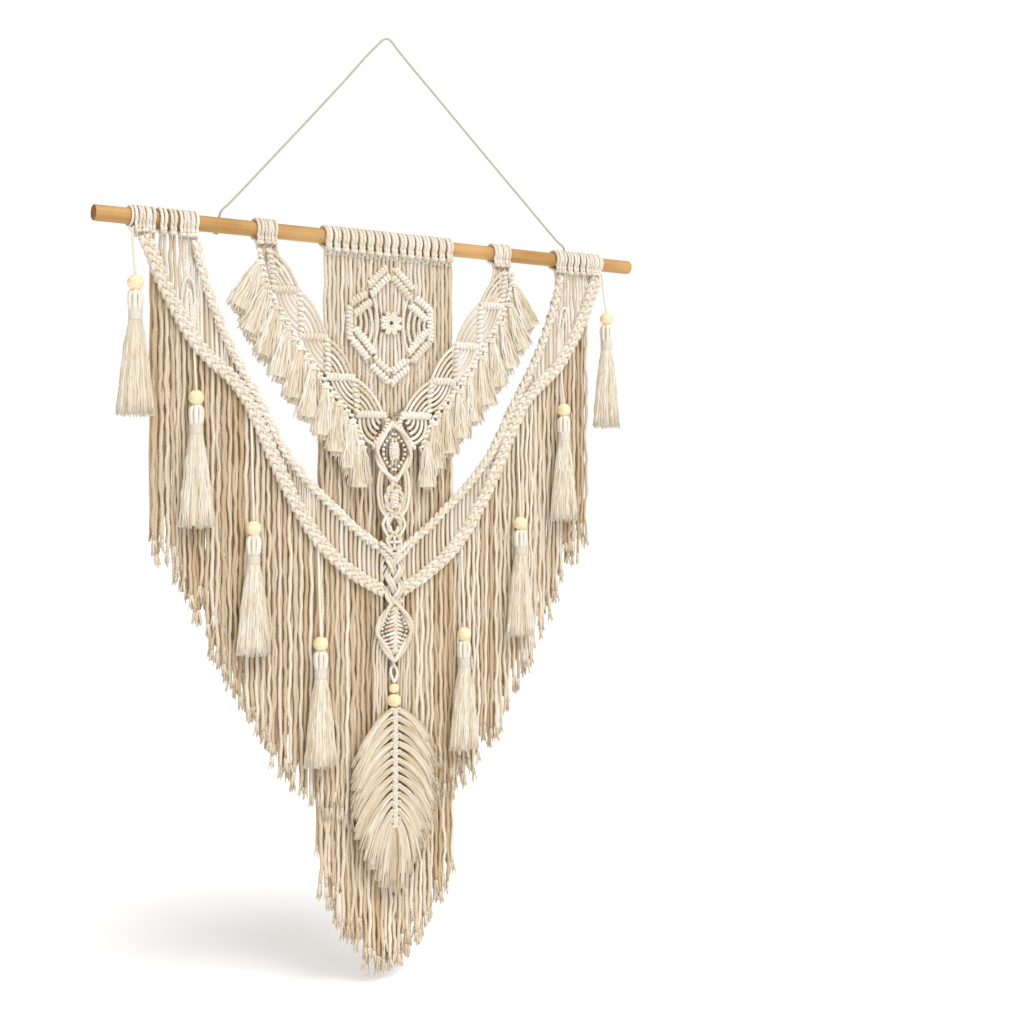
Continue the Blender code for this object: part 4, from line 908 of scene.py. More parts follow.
def make_centre_fringe():
    """The long strands behind everything, in three layers, with frayed ends."""
    bundle = Bundle(21)
    edge = REAR_STRIP_EDGE[0]
    x = edge * (2 * (np.arange(REAR_STRANDS) + 0.5) / REAR_STRANDS - 1)
    strip = [(px, rear_strip_z(px)) for px in np.linspace(-edge, edge, REAR_STRANDS + 1)]
    add_bar(bundle, in_plane(strip, REAR_Y - 3.0), *REAR_STRIP_WINDING, core=2.0)
    for layer, back in enumerate(REAR_LAYERS):
        place = (x + 3.5)[:-1] if layer == 1 else x
        hem = between(REAR_HEM, np.abs(place)) + 8.0 + layer * 6.0
        hem = np.maximum(uneven_hem(bundle.rng, hem, 8.0), REAR_LOWEST)
        top = np.array([rear_strip_z(px) for px in place])
        hung = place * REAR_SPREAD + bundle.rng.normal(0.0, 0.9, len(place))
        add_fringe_layer(bundle, layer, place, hung, REAR_Y + back, top, hem, set_back=0.4)
    bundle.make("long_centre_fringe", "centre_fringe", "fringe_cotton")


# ---- side fringes --------------------------------------------------------------------
def make_side_fringe(side):
    """The fringe below an outer braid, in three layers."""
    bundle = half_bundle(31, side)
    first, last = SIDE_FRINGE_EDGES
    pitch = (last - first) / SIDE_FRINGE_STRANDS
    x = first + pitch * (np.arange(SIDE_FRINGE_STRANDS) + 0.5)
    for layer, (shift, back) in enumerate(SIDE_LAYERS):
        place = x + shift * pitch
        if layer == 1:
            place = place[:-1]
        top = between(OUTER_BRAID, place) + 2.0
        hem = between(SIDE_HEM, np.abs(place)) + 10.0 + layer * 6.0
        hem = np.minimum(uneven_hem(bundle.rng, hem, 9.0), top - 60.0)
        hung = place + bundle.rng.normal(0.0, 1.1, len(place))
        add_fringe_layer(bundle, layer, place, hung, SIDE_FRINGE_Y + back, top, hem)
    bundle.make(f"fringe_{side}", f"side_fringe_{side}", "fringe_cotton")


# ---- side panels ---------------------------------------------------------------------
# middles of the heads; on the right, those between the outer three and the last two stand apart
HEADS_LEFT = (-385.6, -375.6, -366.0, -350.0, -336.4, -323.0, -313.0, -304.9)
HEADS_RIGHT = (-386.0, -376.2, -366.4, -354.0, -341.6, -329.2, -316.8, -307.0)
# pointed loops nested between the inner braid and the strands beside it: x, top z, half width
NESTED_LOOPS = ((-316.0, -76.0, 9.0), (-316.0, -92.0, 4.0), (-306.0, -108.0, 3.4))
LINK_GAP = 3.7                  # between the loose strands, which hang in front and behind by turns
LINKS = (-297.0, -18.0)         # x of the first and the last of them
LOOP_GAP = 11.3                 # between the small loops of the inner braid


def make_side_panel(side):
    """The heads, the two braids and the strands that hang between them."""
    bundle = half_bundle(41, side)
    heads = HEADS_LEFT if side == "left" else HEADS_RIGHT
    add_heads(bundle, heads, radius=2.4)
    add_outer_braid(bundle, smooth(in_plane(OUTER_BRAID, BRAID_Y), step=2.3))
    add_inner_braid(bundle, smooth(in_plane(INNER_BRAID, BRAID_Y), step=2.3))
    for x in [middle + end for middle in heads for end in (-HEAD_ENDS, HEAD_ENDS)]:
        if x >= OUTER_BRAID[0][0] + 6:
            add_head_strand(bundle, x)
    for x in np.arange(*LINKS, 2 * LINK_GAP):
        top = between(INNER_BRAID, x) - 2.0
        foot = between(OUTER_BRAID, x) + 6.0
        if top - foot > 4.0:
            add_link(bundle, x, top, foot)
            add_link(bundle, x + LINK_GAP, top, foot - 2.0, behind=3.6)
    for x, top, half in NESTED_LOOPS:
        add_pointed_loop(bundle, x, top, half, between(OUTER_BRAID, x) + 4.0)
    bundle.make(f"knotted_side_{side}", f"side_panel_{side}", "twisted_cotton")


def add_head_strand(bundle, x):
    """A strand from a head down to the outer braid."""
    hung = x + bundle.rng.uniform(-0.6, 0.6)
    foot = between(OUTER_BRAID, hung) + 1.0
    knots = [(x, -7.0, HEADS_BOTTOM), (hung, -8.5, HEADS_BOTTOM * 0.6 + foot * 0.4),
             (hung, -12.0, foot)]
    line = wander(smooth(knots, step=6.0)[None], bundle.rng, (1.1, 0.7), 80.0, 16.0, True)
    bundle.cords(line, 2.35, shade=(0.1, 0.9))


def add_outer_braid(bundle, path):
    """A broad flat braid of five doubled strands."""
    widen = 1 + 0.03 * np.sin(np.linspace(0, 25, len(path)))
    lines = plait(path, *OUTER_PLAIT)
    bundle.cords(lines, 3.25 * widen[None], sides=8, shade=(0.5, 1.0))
    # a dark cord behind the braid: painted shade in its gaps
    bundle.cords(path + (0.0, 2.2, 0.0), 3.0, sides=6, shade=(0.1, 0.3))


def add_inner_braid(bundle, path):
    """A chain of hitches: three plaited strands, and a small loop where each strand leaves."""
    bundle.cords(plait(path, *INNER_PLAIT), 2.9, sides=8, shade=(0.5, 1.0))
    count = int(travelled(path)[-1] / LOOP_GAP)
    for number in range(count):
        centre = at_share(path, (number + 0.5) / count) + (-3.4, -0.6, -3.2)
        bundle.cords(small_loop(centre, (2.2, -1.5, 2.6), 12), 1.9, sides=6, shade=(0.5, 1.0))


def add_link(bundle, x, top, foot, behind=0.0):
    """A loose strand from the inner braid to the outer braid."""
    lean = bundle.rng.uniform(-0.8, 0.8)
    y = BRAID_Y + behind
    knots = [(x, y + 2.5, top), (x + lean, y + 5.0, (top + foot) / 2), (x + lean, y + 3.0, foot)]
    # the links behind are painted darker, as shade
    bundle.through(knots, 2.45, (0.0, 0.4) if behind else (0.2, 0.95), step=5.0)


def add_pointed_loop(bundle, x, top, half, foot):
    """A loop that rises to a point between the strands; its outer leg ends a little lower."""
    knots = [(x - half, BRAID_Y + 4, foot), (x - half, BRAID_Y + 3, top - 24.0),
             (x - half * 0.75, BRAID_Y + 2, top - 9.0), (x, BRAID_Y + 1.5, top),
             (x + half * 0.75, BRAID_Y + 2, top - 9.0), (x + half, BRAID_Y + 3, top - 24.0),
             (x + half, BRAID_Y + 4, foot - 10.0)]
    bundle.through(knots, 2.2, (0.5, 1.0), step=4.5)


# ---- garlands ------------------------------------------------------------------------
GARLAND_HEADS = (-208.8, -198.5, -188.2)
# strands from those heads into the garland, as (x, z)
GARLAND_STRANDS = (((-208.8, -23), (-210.5, -50), (-205, -84)),
                   ((-203, -22), (-203.5, -50), (-198, -86)),
                   ((-193, -23), (-190, -45), (-189, -80)),
                   ((-186, -22), (-178, -48), (-156, -86)),
                   ((-188.5, -24), (-184, -50), (-170, -84)),
                   ((-199.5, -26), (-201, -52), (-196, -82)))
# how far along the arms of a corner its nested strands start: inside, outside
FAN_SHARES = ((0.3, 0.47, 0.65, 0.83, 1.0), (0.25, 0.41, 0.57, 0.73, 0.88))
FAN_BEND = (0.5, 0.7)           # 0 is straight and 1 a quarter of an ellipse: inside, outside


def make_garland(side):
    """Three heads, the stepped line of hitches and the nested strands in its corners."""
    bundle = half_bundle(51, side)
    add_heads(bundle, GARLAND_HEADS, radius=2.5)
    steps = in_plane(GARLAND_STEPS, GARLAND_Y)
    for number, (start, end) in enumerate(zip(steps, steps[1:])):
        middle = (start + end) / 2
        if number % 2:
            reach = (end - start) * 0.06
            bar = smooth((start - reach, middle + (0, -0.8, 0.7), end + reach))
            add_bar(bundle, bar, *LEVEL_WINDING)
        else:
            add_bar(bundle, smooth((start, middle + (0.8, -1.0, 0), end)), *UPRIGHT_WINDING)
    for number, corner in enumerate(zip(steps, steps[1:], steps[2:])):
        add_corner_fan(bundle, *corner, number % 2)
    tail = in_plane(GARLAND_TAIL, GARLAND_Y)
    add_corner_fan(bundle, steps[-2], steps[-1], tail[-1], 1)
    add_bar(bundle, smooth((steps[-1], *tail)), *TAIL_WINDING)
    for knots in GARLAND_STRANDS:
        line = smooth(in_plane(knots, GARLAND_Y + 1.5), step=5.0)
        line[:, 1] = np.linspace(-9.0, GARLAND_Y + 1.0, len(line))
        bundle.cords(line, 2.2, shade=(0.3, 1.0))
    bundle.make(f"knotted_garland_{side}", f"garland_{side}", "twisted_cotton")


def add_corner_fan(bundle, before, corner, after, outside):
    """Nested strands from one arm of a corner round to the other arm."""
    turns = np.radians((0, 22, 45, 68, 90))
    bend = FAN_BEND[outside]
    for share in FAN_SHARES[outside]:
        one, other = (before - corner) * share, (after - corner) * share
        rounded = np.cos(turns)[:, None] * one + np.sin(turns)[:, None] * other
        straight = one + (other - one) * np.array((0.0, 0.27, 0.5, 0.73, 1.0))[:, None]
        line = corner + rounded * bend + straight * (1 - bend)
        line[:, 1] += 1.4 - 1.6 * np.sin(turns * 2)
        bundle.through(line, 2.45, (0.3, 1.0), step=3.5)


def make_tufts(side):
    """The knotted lower edge of a garland and the combed tufts that hang from it."""
    bundle = half_bundle(61, side)
    line = even(in_plane(TUFT_LINE, GARLAND_Y), 220)
    add_bar(bundle, line, *TUFT_LINE_WINDING, core=2.0)
    shares, *leans = np.transpose(TUFT_LEAN)
    for number in range(2 * TUFTS - 1):
        behind = number % 2
        root = at_share(line, (number + 1) / (2 * TUFTS)) + (-2.5, 4.0 * behind - 1.0, 0.0)
        lean = np.array([np.interp(number / (2 * TUFTS - 2), shares, axis) for axis in leans])
        add_tuft(bundle, root, lean * (0.94 if behind else 1.0))
    bundle.make(f"combed_tufts_{side}", f"garland_tufts_{side}", "combed_cotton")


TUFT_TAPER = 1.3 * np.array((0.8, 1.0, 1.15, 1.2, 1.2, 1.2, 1.15, 1.0, 0.6))
TO_THE_BACK = np.array((0.0, 1.0, 0.0))


def add_tuft(bundle, root, lean):
    """Threads that fan out below a small knot, and the soft core that fills them, painted dark as
    the shade among the threads.
    """
    rng = bundle.rng
    knot = root + (-1.5, -1.0, -4.0)
    t = np.linspace(0, 2 * TURN, 22)[:, None]
    wraps = knot + np.concatenate((4.2 * np.sin(t), 3.4 * np.cos(t), 3.2 - t * 0.5), axis=1)
    bundle.cords(wraps, 2.2, shade=(0.3, 1.0))
    heading = unit(np.array((lean[0], 0.0, lean[1])))
    across = np.array((-heading[2], 0.0, heading[0]))
    reach = np.linalg.norm(lean)
    count = bpy.context.scene.hanging_sizes.tuft_threads
    spread = np.linspace(-1.0, 1.0, count) + rng.uniform(-0.1, 0.1, count)
    length = reach * rng.uniform(0.94, 1.04) * (1 - 0.05 * spread ** 2)
    length = length * rng.uniform(0.9, 1.03, count)
    wide = rng.uniform(12.5, 15.5)
    share = np.linspace(0.0, 1.0, len(TUFT_TAPER))[None, :, None]
    layer = np.cos(np.arange(count) * 0.618 % 1.0 * math.pi)[:, None, None]
    fan = (3.2 + wide * share ** 0.72) * spread[:, None, None]
    depth = (2.8 + 2.0 * share - 2.2 * share ** 4) * layer
    sag = np.array((0.0, 0.0, -1.0)) * 3.0 * share * (1 - share)
    lines = (knot + heading * length[:, None, None] * share + across * fan + sag
             + TO_THE_BACK * depth)
    lines = wander(lines, rng, (1.1, 0.8), 34.0, reach=20.0)
    bundle.cords(lines, TUFT_TAPER, sides=4, shade=(0.0, 1.0))
    rings = []
    angle = (TURN * np.arange(12) / 12)[:, None]
    for share in np.linspace(0.02, 0.93, 6):
        broad, deep = 2.6 + 0.9 * wide * share ** 0.72, 2.2 + 1.4 * share
        middle = knot + heading * reach * share + (0, 0, -3.0 * share * (1 - share))
        rings.append(middle + across * (broad * np.cos(angle))
                     + TO_THE_BACK * (deep * np.sin(angle)))
    # the soft core, painted dark as shade among the threads
    bundle.surface(np.array(rings), shade=0.25, scale=(3.0, 1.0))


# ---- centre column -------------------------------------------------------------------
# outlines on the right side, as (x, z) from the top to the bottom
UPPER_DIAMOND = ((0, -267), (13, -280), (25, -297), (28, -311), (24, -325), (10, -343), (0, -353))
LOWER_DIAMOND = ((0, -526), (12, -541), (26, -563), (28.5, -572), (24, -583), (10, -605), (0, -617))
SIDE_CORD = ((20, -329), (25, -348), (26, -374), (21, -394), (10, -408))
LOOP = ((0, -622), (-4.4, -628), (-5.4, -635), (-3.0, -642), (0, -647.5), (3.0, -642),
        (5.4, -635), (4.4, -628), (0, -622))
TWIST_RING = ((0, -355), (8, -364), (13, -379), (9, -394), (0, -402))
EYE_RING = ((0, -402), (7, -408), (10.5, -416), (7, -424), (0, -430))
FLOWER_RING = ((0, -431), (8, -434), (11.5, -442), (8, -450), (0, -453))
SIDE_EYELET = ((9, -399), (15, -408), (18.5, -417), (14, -427), (8, -436))
# half of a chevron below the inner braids, and the strands beside the crossing
CHEVRON = ((24, -442), (12, -453), (-1, -463))
SIDE_STRAND = ((13, -452), (17.5, -459), (18.5, -480), (17.5, -512))

# the strands that hang outside the lower diamond, and the veins inside it
OUTER_STRANDS = (27.0, 22.5, 18.0, 13.5, 9.0)
OUTER_STRANDS_FOOT = -735.0
VEINS = (-541.0, -603.0, -6.0)  # first and last height, and the step between them


def make_centre_column():
    """Two knotted diamonds, the chain of knots between them and the feather's loop."""
    bundle = Bundle(71)
    add_outline(bundle, UPPER_DIAMOND, 2.95, 0.0, 75.0)
    add_berry(bundle, -309.0, (7.4, 11.0))
    add_pearl_ring(bundle, UPPER_DIAMOND, -309.0, (0.66, 0.66), -0.5, 6.6, 2.6)
    for side in (-1, 1):
        cord = smooth(in_plane(SIDE_CORD, COLUMN_Y + 1.0, side), step=4.0)
        bundle.cords(cord, 2.3, shade=(0.5, 1.0))
        bundle.cords(cord * (0.78, 1.0, 1.0) + (0.0, 0.8, 1.5), 2.3, shade=(0.3, 0.8))
        bundle.through(in_plane(SIDE_EYELET, COLUMN_Y, side), 2.5, (0.6, 1.0), 8, step=2.0)
    for ring, radius in ((TWIST_RING, 2.5), (EYE_RING, 2.4), (FLOWER_RING, 2.2)):
        add_outline(bundle, ring, radius, -0.6, 26.0)
    add_berry(bundle, -379.0, (6.4, 12.5))
    add_flower_of_holes(bundle)
    add_crossing(bundle)
    add_lower_diamond(bundle)
    loop = smooth(in_plane(LOOP, COLUMN_Y), step=1.6)
    loop[:, 1] += 1.5 * np.cos(np.linspace(0, TURN, len(loop)))
    bundle.cords(loop, 2.2, sides=9, shade=(0.7, 1.0))
    bundle.through(in_plane(((0, -616), (0, -620), (0, -625)), COLUMN_Y), 2.6, (0.25, 0.75), 8)
    foot = in_plane(((0.0, -645.0), (0.2, -665.0), (0.0, -686.5)), COLUMN_Y)
    bundle.through(foot, 1.5, (0.5, 0.6), 8, step=4.0)
    bundle.make("knotted_centre_column", "centre_column", "twisted_cotton")


def add_outline(bundle, outline, radius, back, turn):
    """Both sides of an upright ring of twisted rope."""
    for side in (-1, 1):
        add_rope(bundle, smooth(in_plane(outline, COLUMN_Y + back, side)), radius, turn)


def add_rope(bundle, path, radius, turn):
    """Two cords laid side by side and twisted slowly round each other."""
    for lead in (0.0, math.pi):
        angle = TURN * travelled(path) / turn + lead
        line = path + beside(path) * (radius * 0.8 * np.cos(angle))[:, None]
        line[:, 1] += radius * 0.7 * np.sin(angle)
        bundle.cords(line, radius, sides=8, shade=(0.4, 1.0))


def add_pearl_ring(bundle, outline, middle_z, shares, back, gap, radius):
    """Small round knots in a row inside each side of an outline; shares make the row smaller."""
    row = [(x * shares[0], middle_z + (z - middle_z) * shares[1]) for x, z in outline]
    for side in (-1, 1):
        path = smooth(in_plane(row, COLUMN_Y + back, side))
        count = int(travelled(path)[-1] / gap)
        for number in range(count):
            middle = at_share(path, (number + 0.5) / count)
            ahead = at_share(path, min(1.0, (number + 1.0) / count)) - middle
            knot = middle + unit(ahead) * np.array((-2.2, -1.5, 0.0, 1.5, 2.2))[:, None]
            swell = np.array((0.35, 0.8, 1.0, 0.8, 0.35)) * radius
            bundle.cords(knot, swell, sides=8, shade=(0.4, 1.0))


def add_berry(bundle, middle_z, size):
    """A raised knot woven of short slanting turns, on two cords."""
    rows = 5
    for number in range(rows):
        share = (number + 0.5) / rows * 2 - 1
        wide = size[0] * math.sqrt(1 - 0.7 * share * share)
        z = middle_z - share * size[1]
        for side in (-1, 1):
            knots = ((-side * wide, COLUMN_Y + 0.5, z + 1.4),
                     (-side * wide * 0.45, COLUMN_Y - 5.0, z + 2.4 - side * 0.8),
                     (side * wide * 0.3, COLUMN_Y - 6.0 - side, z - 0.4),
                     (side * wide, COLUMN_Y + 0.5, z - 2.2))
            bundle.through(knots, 2.2, (0.6, 1.0), step=1.8)
    # two cords under the knot, painted darker as shade
    core = smooth(((0, COLUMN_Y, middle_z + size[1] + 9), (0, COLUMN_Y - 1.5, middle_z),
                   (0, COLUMN_Y, middle_z - size[1] - 9)), step=3.0)
    for shift in (-2.6, 2.6):
        bundle.cords(core + (shift, 0.0, 0.0), 2.2, shade=(0.2, 0.6))


def add_flower_of_holes(bundle):
    """A small cross of cord with a pearl in its middle, which leaves four holes in its ring."""
    middle_z = FLOWER_RING[2][1]
    for x, z in ((10.0, 0.0), (-10.0, 0.0), (0.0, 9.0), (0.0, -9.0)):
        arm = [(x * share, middle_z + z * share) for share in (1.0, 0.6, 0.15)]
        bundle.through(in_plane(arm, COLUMN_Y - 1.4), 2.1, (0.7, 1.0), count=6)
    pearl = in_plane(((-1.8, middle_z), (0, middle_z), (1.8, middle_z)), COLUMN_Y - 2.2)
    bundle.through(pearl, 2.7, (0.8, 1.0), 9, count=6)


def add_crossing(bundle):
    """Doubled cords plaited between the flower and the lower diamond, below two chevrons."""
    path = smooth(in_plane(((0, -458), (0, -494), (0, -533)), COLUMN_Y - 1.0), step=2.0)
    for strand in plait(path, *CROSSING_PLAIT):
        for shift in (-2.5, 2.5):
            bundle.cords(strand + beside(strand) * shift, 2.7, sides=8, shade=(0.4, 1.0))
    # a dark cord behind the plait: painted shade in its gaps
    bundle.cords(path + (0, 3.5, 0), 3.0, sides=6, shade=(0.0, 0.2))
    for side in (-1, 1):
        for drop in (0.0, -10.5):
            chevron = in_plane(CHEVRON, COLUMN_Y - 2.4, side) + (0, 0, drop)
            add_rope(bundle, smooth(chevron), 2.4, 15.0)
        for drop in (0, -12, -24, -36):
            knots = in_plane(SIDE_STRAND, COLUMN_Y + 1.0, side) + (0, 0, drop)
            knots[:, 1] += 1.6 * np.arange(len(knots))
            bundle.through(knots, 2.3, (0.2, 0.9), step=5.0)


def add_veins(bundle, z):
    """A pair of short cords that slant down from the middle of the lower diamond to its sides."""
    room = between([(row_z, x) for x, row_z in LOWER_DIAMOND], z) * 0.6 - 1.0
    if room <= 4.0:
        return
    swell = 1 + 0.12 * np.sin(np.arange(9) * 2.1)
    for side in (-1, 1):
        vein = ((side * 0.5, COLUMN_Y - 4.4, z + 2.5), (side * room * 0.5, COLUMN_Y - 3.8, z + 0.6),
                (side * room, COLUMN_Y + 1.0, z - 2.4))
        bundle.through(vein, np.linspace(2.9, 1.7, 9) * swell, (0.2, 1.0), count=9)


def add_lower_diamond(bundle):
    """A smooth roped outline, a net of small knots inside it and strands that hang outside it."""
    for side in (-1, 1):
        path = smooth(in_plane(LOWER_DIAMOND, COLUMN_Y - 0.5, side))
        add_rope(bundle, path + (0.0, -1.6, 0.0), 3.0, 90.0)
        for x in OUTER_STRANDS:
            z = LOWER_DIAMOND[3][1] - (LOWER_DIAMOND[3][0] - x) * 1.55
            foot = OUTER_STRANDS_FOOT - bundle.rng.uniform(0, 30)
            knots = ((x * side, COLUMN_Y + 1.5, z + 2), (x * side * 1.12, COLUMN_Y + 4.0, z - 12),
                     (x * side * 1.1, -14.2, z - 60), (x * side * 1.05, -14.2, foot))
            line = wander(smooth(knots, step=8.0)[None], bundle.rng, (0.8, 0.3), 90.0)
            bundle.cords(line, 2.3, shade=(0.0, 0.75))
    for z in np.arange(*VEINS):
        add_veins(bundle, z)
    add_pearl_ring(bundle, LOWER_DIAMOND, -571.0, (0.73, 0.8), -0.8, 5.8, 2.4)
    core = smooth(in_plane(((0, -538), (0, -572), (0, -604)), COLUMN_Y - 3.8), step=2.0)
    bundle.cords(plait(core, *DIAMOND_CORE_PLAIT), 2.1, shade=(0.5, 1.0))


# ---- beads ---------------------------------------------------------------------------
def make_bead(name, node, x, y, z, radius):
    """A turned bead, flattened a little round its hole."""
    rim = math.asin(BEAD_HOLE / radius)
    outside = [(radius * math.sin(turn), radius * math.cos(turn))
               for turn in np.linspace(rim, math.pi - rim, BEAD_RINGS)]
    bore, end = BEAD_HOLE - 0.35, outside[0][1] - 0.5
    rings = [*outside, (bore, -end), (bore, end), outside[0]]
    angle = TURN * np.arange(BEAD_SIDES) / BEAD_SIDES
    rows = [np.stack((x + reach * np.cos(angle), y - reach * np.sin(angle),
                      np.full(BEAD_SIDES, z + height)), axis=1) for reach, height in rings]
    bundle = Bundle(int(abs(x * 7 + z)))
    bundle.surface(np.array(rows))
    bundle.make(name, node, "bead_wood")


def make_beads():
    """The two beads above the feather, and one above each tassel."""
    make_bead("wooden_bead_small", "bead_small", 0.0, COLUMN_Y, *SMALL_BEAD)
    make_bead("wooden_bead_large", "bead_large", 0.0, COLUMN_Y, *LARGE_BEAD)
    for side, sign in (("left", 1), ("right", -1)):
        for number, (x, z, _) in enumerate(TASSELS, 1):
            make_bead(f"wooden_bead_{number}_{side}", f"tassel_bead_{number}_{side}", x * sign,
                      TASSEL_Y, z, TASSEL_BEAD_RADIUS)


# ---- feather -------------------------------------------------------------------------
FEATHER_LOCKS = 15              # on each side
LOCK_POINTS = 12                # along a lock
LOCK_TAPER = 1.5 * np.interp(np.linspace(0, 1, LOCK_POINTS),
                             (0, 0.15, 0.8, 1), (0.8, 1.0, 1.1, 0.85))
END_TUFT_THREADS = 46
END_TUFT_LENGTH = 98.0
END_TUFT_TAPER = np.interp(np.linspace(0, 1, 10), (0, 0.8, 1), (1.2, 1.1, 0.5))


def make_feather():
    """A spine of square knots, and combed cords that leave it on both sides in layers."""
    bundle = Bundle(81)
    rng = bundle.rng
    top, foot = SPINE
    first_tip, last_tip = FEATHER_TIPS
    spine = in_plane(((0, top), (0, (top + foot) / 2), (0, foot)), FEATHER_Y - 2.5)
    spine = smooth(spine, step=1.8)
    bundle.cords(plait(spine, *SPINE_PLAIT), 2.2, sides=8, shade=(0.6, 1.0))
    # a dark cord behind the spine: painted shade in its gaps
    bundle.cords(spine + (0, 2.0, 0), 3.4, sides=6, shade=(0.1, 0.4))
    for side in (-1, 1):
        for number in range(FEATHER_LOCKS):
            share = number / (FEATHER_LOCKS - 1)
            root_z = top - 3.0 + (foot + 3.0 - top) * share
            tip_z = first_tip + (last_tip - first_tip) * share ** 1.15 + rng.uniform(-4.0, 3.0)
            tip_x = between(FEATHER_OUTLINE, tip_z) + rng.uniform(-1.5, 2.0)
            hitch = small_loop((side * 5.4, FEATHER_Y - 3.4, root_z), (2.6, -1.2, 2.4), 11)
            bundle.cords(hitch, 1.95, shade=(0.7, 1.0))
            add_feather_lock(bundle, side, root_z, tip_x, tip_z, number % 2)
    add_end_tuft(bundle, foot)
    bundle.make("combed_feather", "feather", "feather_cotton")


def add_feather_lock(bundle, side, root_z, tip_x, tip_z, behind):
    """One cord of the feather: twisted at the spine, combed out towards its tip."""
    rng = bundle.rng
    count = bpy.context.scene.hanging_sizes.feather_threads
    y = FEATHER_Y + (behind * 2.2 - 2.6)
    root = np.array((side * 5.0, y, root_z))
    tip = np.array((side * tip_x, y + 1.0, tip_z))
    shoulder = np.array((side * (tip_x * 0.56 + 7.0), y - 2.0, root_z - 0.24 * (root_z - tip_z)))
    t = np.linspace(0.0, 1.0, LOCK_POINTS)[:, None]
    share = t.T
    middle = root * (1 - t) ** 2 + shoulder * 2 * t * (1 - t) + tip * t * t
    across = beside(middle)
    place = np.linspace(-1.0, 1.0, count)[:, None, None] + rng.uniform(-0.1, 0.1, (count, 1, 1))
    turn = rng.uniform(0, TURN, (count, 1))
    lines = middle[None] + across[None] * ((2.6 + 5.6 * share ** 1.1)[..., None] * place)
    lines[..., 1] += (2.4 + 0.9 * share) * np.sin(turn)
    lines = middle[0] + (lines - middle[0]) * rng.uniform(0.965, 1.01, (count, 1, 1))
    lines = wander(lines, rng, (0.5, 0.5), 45.0, reach=14.0)
    # threads at both edges of a lock are painted darker: shade where the locks overlap
    edge = np.abs(place[:, 0, 0]) > 0.72
    bundle.cords(lines[~edge], LOCK_TAPER, sides=4, shade=(0.2, 1.0))
    bundle.cords(lines[edge], LOCK_TAPER, sides=4, shade=(0.0, 0.5))
    for shift in (-2.5, 2.5):
        core = (middle + across * shift * (0.6 + 0.5 * t))[:-2]
        bundle.cords(core, np.linspace(2.5, 3.2, len(core)), sides=8, shade=(0.1, 0.85))


def add_end_tuft(bundle, foot):
    """The cords of the spine, combed out below its last knot."""
    rng = bundle.rng
    count = END_TUFT_THREADS
    share = np.linspace(0, 1, len(END_TUFT_TAPER))[None]
    spread = np.linspace(-1, 1, count) + rng.uniform(-0.1, 0.1, count)
    reach = END_TUFT_LENGTH * (1 - 0.12 * np.abs(spread)) * rng.uniform(0.86, 1.0, count)
    x = spread[:, None] * (3.0 + 5.85 * np.sin(share * 2.3))
    y = FEATHER_Y - 1.0 + (2.0 * np.cos(np.arange(count) * 2.4))[:, None] * (0.6 + 0.6 * share)
    z = foot - reach[:, None] * share
    lines = wander(np.stack((x, y, z), axis=2), rng, (0.8, 0.5), 50.0, reach=20.0)
    bundle.cords(lines, END_TUFT_TAPER, sides=4, shade=(0.1, 1.0))


# ---- tassels -------------------------------------------------------------------------
# the soft core of a skirt: below the bead's middle, half width, half depth
SKIRT = ((-48.0, 6.6, 6.4), (-62.0, 10.0, 7.6), (-90.0, 14.6, 9.0), (-130.0, 19.6, 10.0),
         (-172.0, 23.6, 10.6))
# one folded cord of the crown: below the bead's middle, and out from the tassel's axis
CROWN = ((-10.5, 2.0), (-13.0, 6.4), (-19.0, 8.0), (-27.0, 7.6), (-36.0, 6.4))
CROWN_CORE = (-13.5, -20.0, -28.0, -38.0)
CROWN_CORE_RADIUS = 6.2
CROWN_CORDS = 7
TASSEL_CORD = 1.75              # radius of the cord that a tassel hangs by
SKIRT_SIDES = 28
SKIRT_TOP = -40.0               # where the threads leave the neck, below the bead's middle
SKIRT_LENGTH = 136.0
SKIRT_TAPER = np.interp(np.linspace(0, 1, 10), (0, 0.25, 0.85, 1), (0.9, 1.15, 1.15, 0.6))
WRAP_TURNS = 7
WRAP_TOP, WRAP_HEIGHT = -35.6, 13.8
WRAP_CORD = 1.2                 # its radius
CROWN_CORD = 3.05


def make_tassel(number, side, x, bead_z, tied_to):
    """A cord, a crown of folded cords, a combed skirt and the binding round the neck."""
    bundle = half_bundle(90 + number * 2, side)
    middle = np.array((x, TASSEL_Y, bead_z))
    if tied_to == "rod":
        add_rod_tie(bundle, x)
        top = np.array((x, -11.0, -19.0))
    else:
        top = np.array((x, BRAID_Y + 2.0, between(OUTER_BRAID, x) - 6.0))
    knots = (top, (top + middle) / 2, middle + (0, 0, 10.0), middle - (0, 0, 12.0))
    bundle.through(knots, TASSEL_CORD, (0.5, 0.9), 8, step=4.0)
    add_crown(bundle, middle)
    add_skirt(bundle, middle)
    bundle.make(f"combed_tassel_{number}_{side}", f"tassel_{number}_{side}", "combed_cotton")
    make_wrap(number, side, middle)


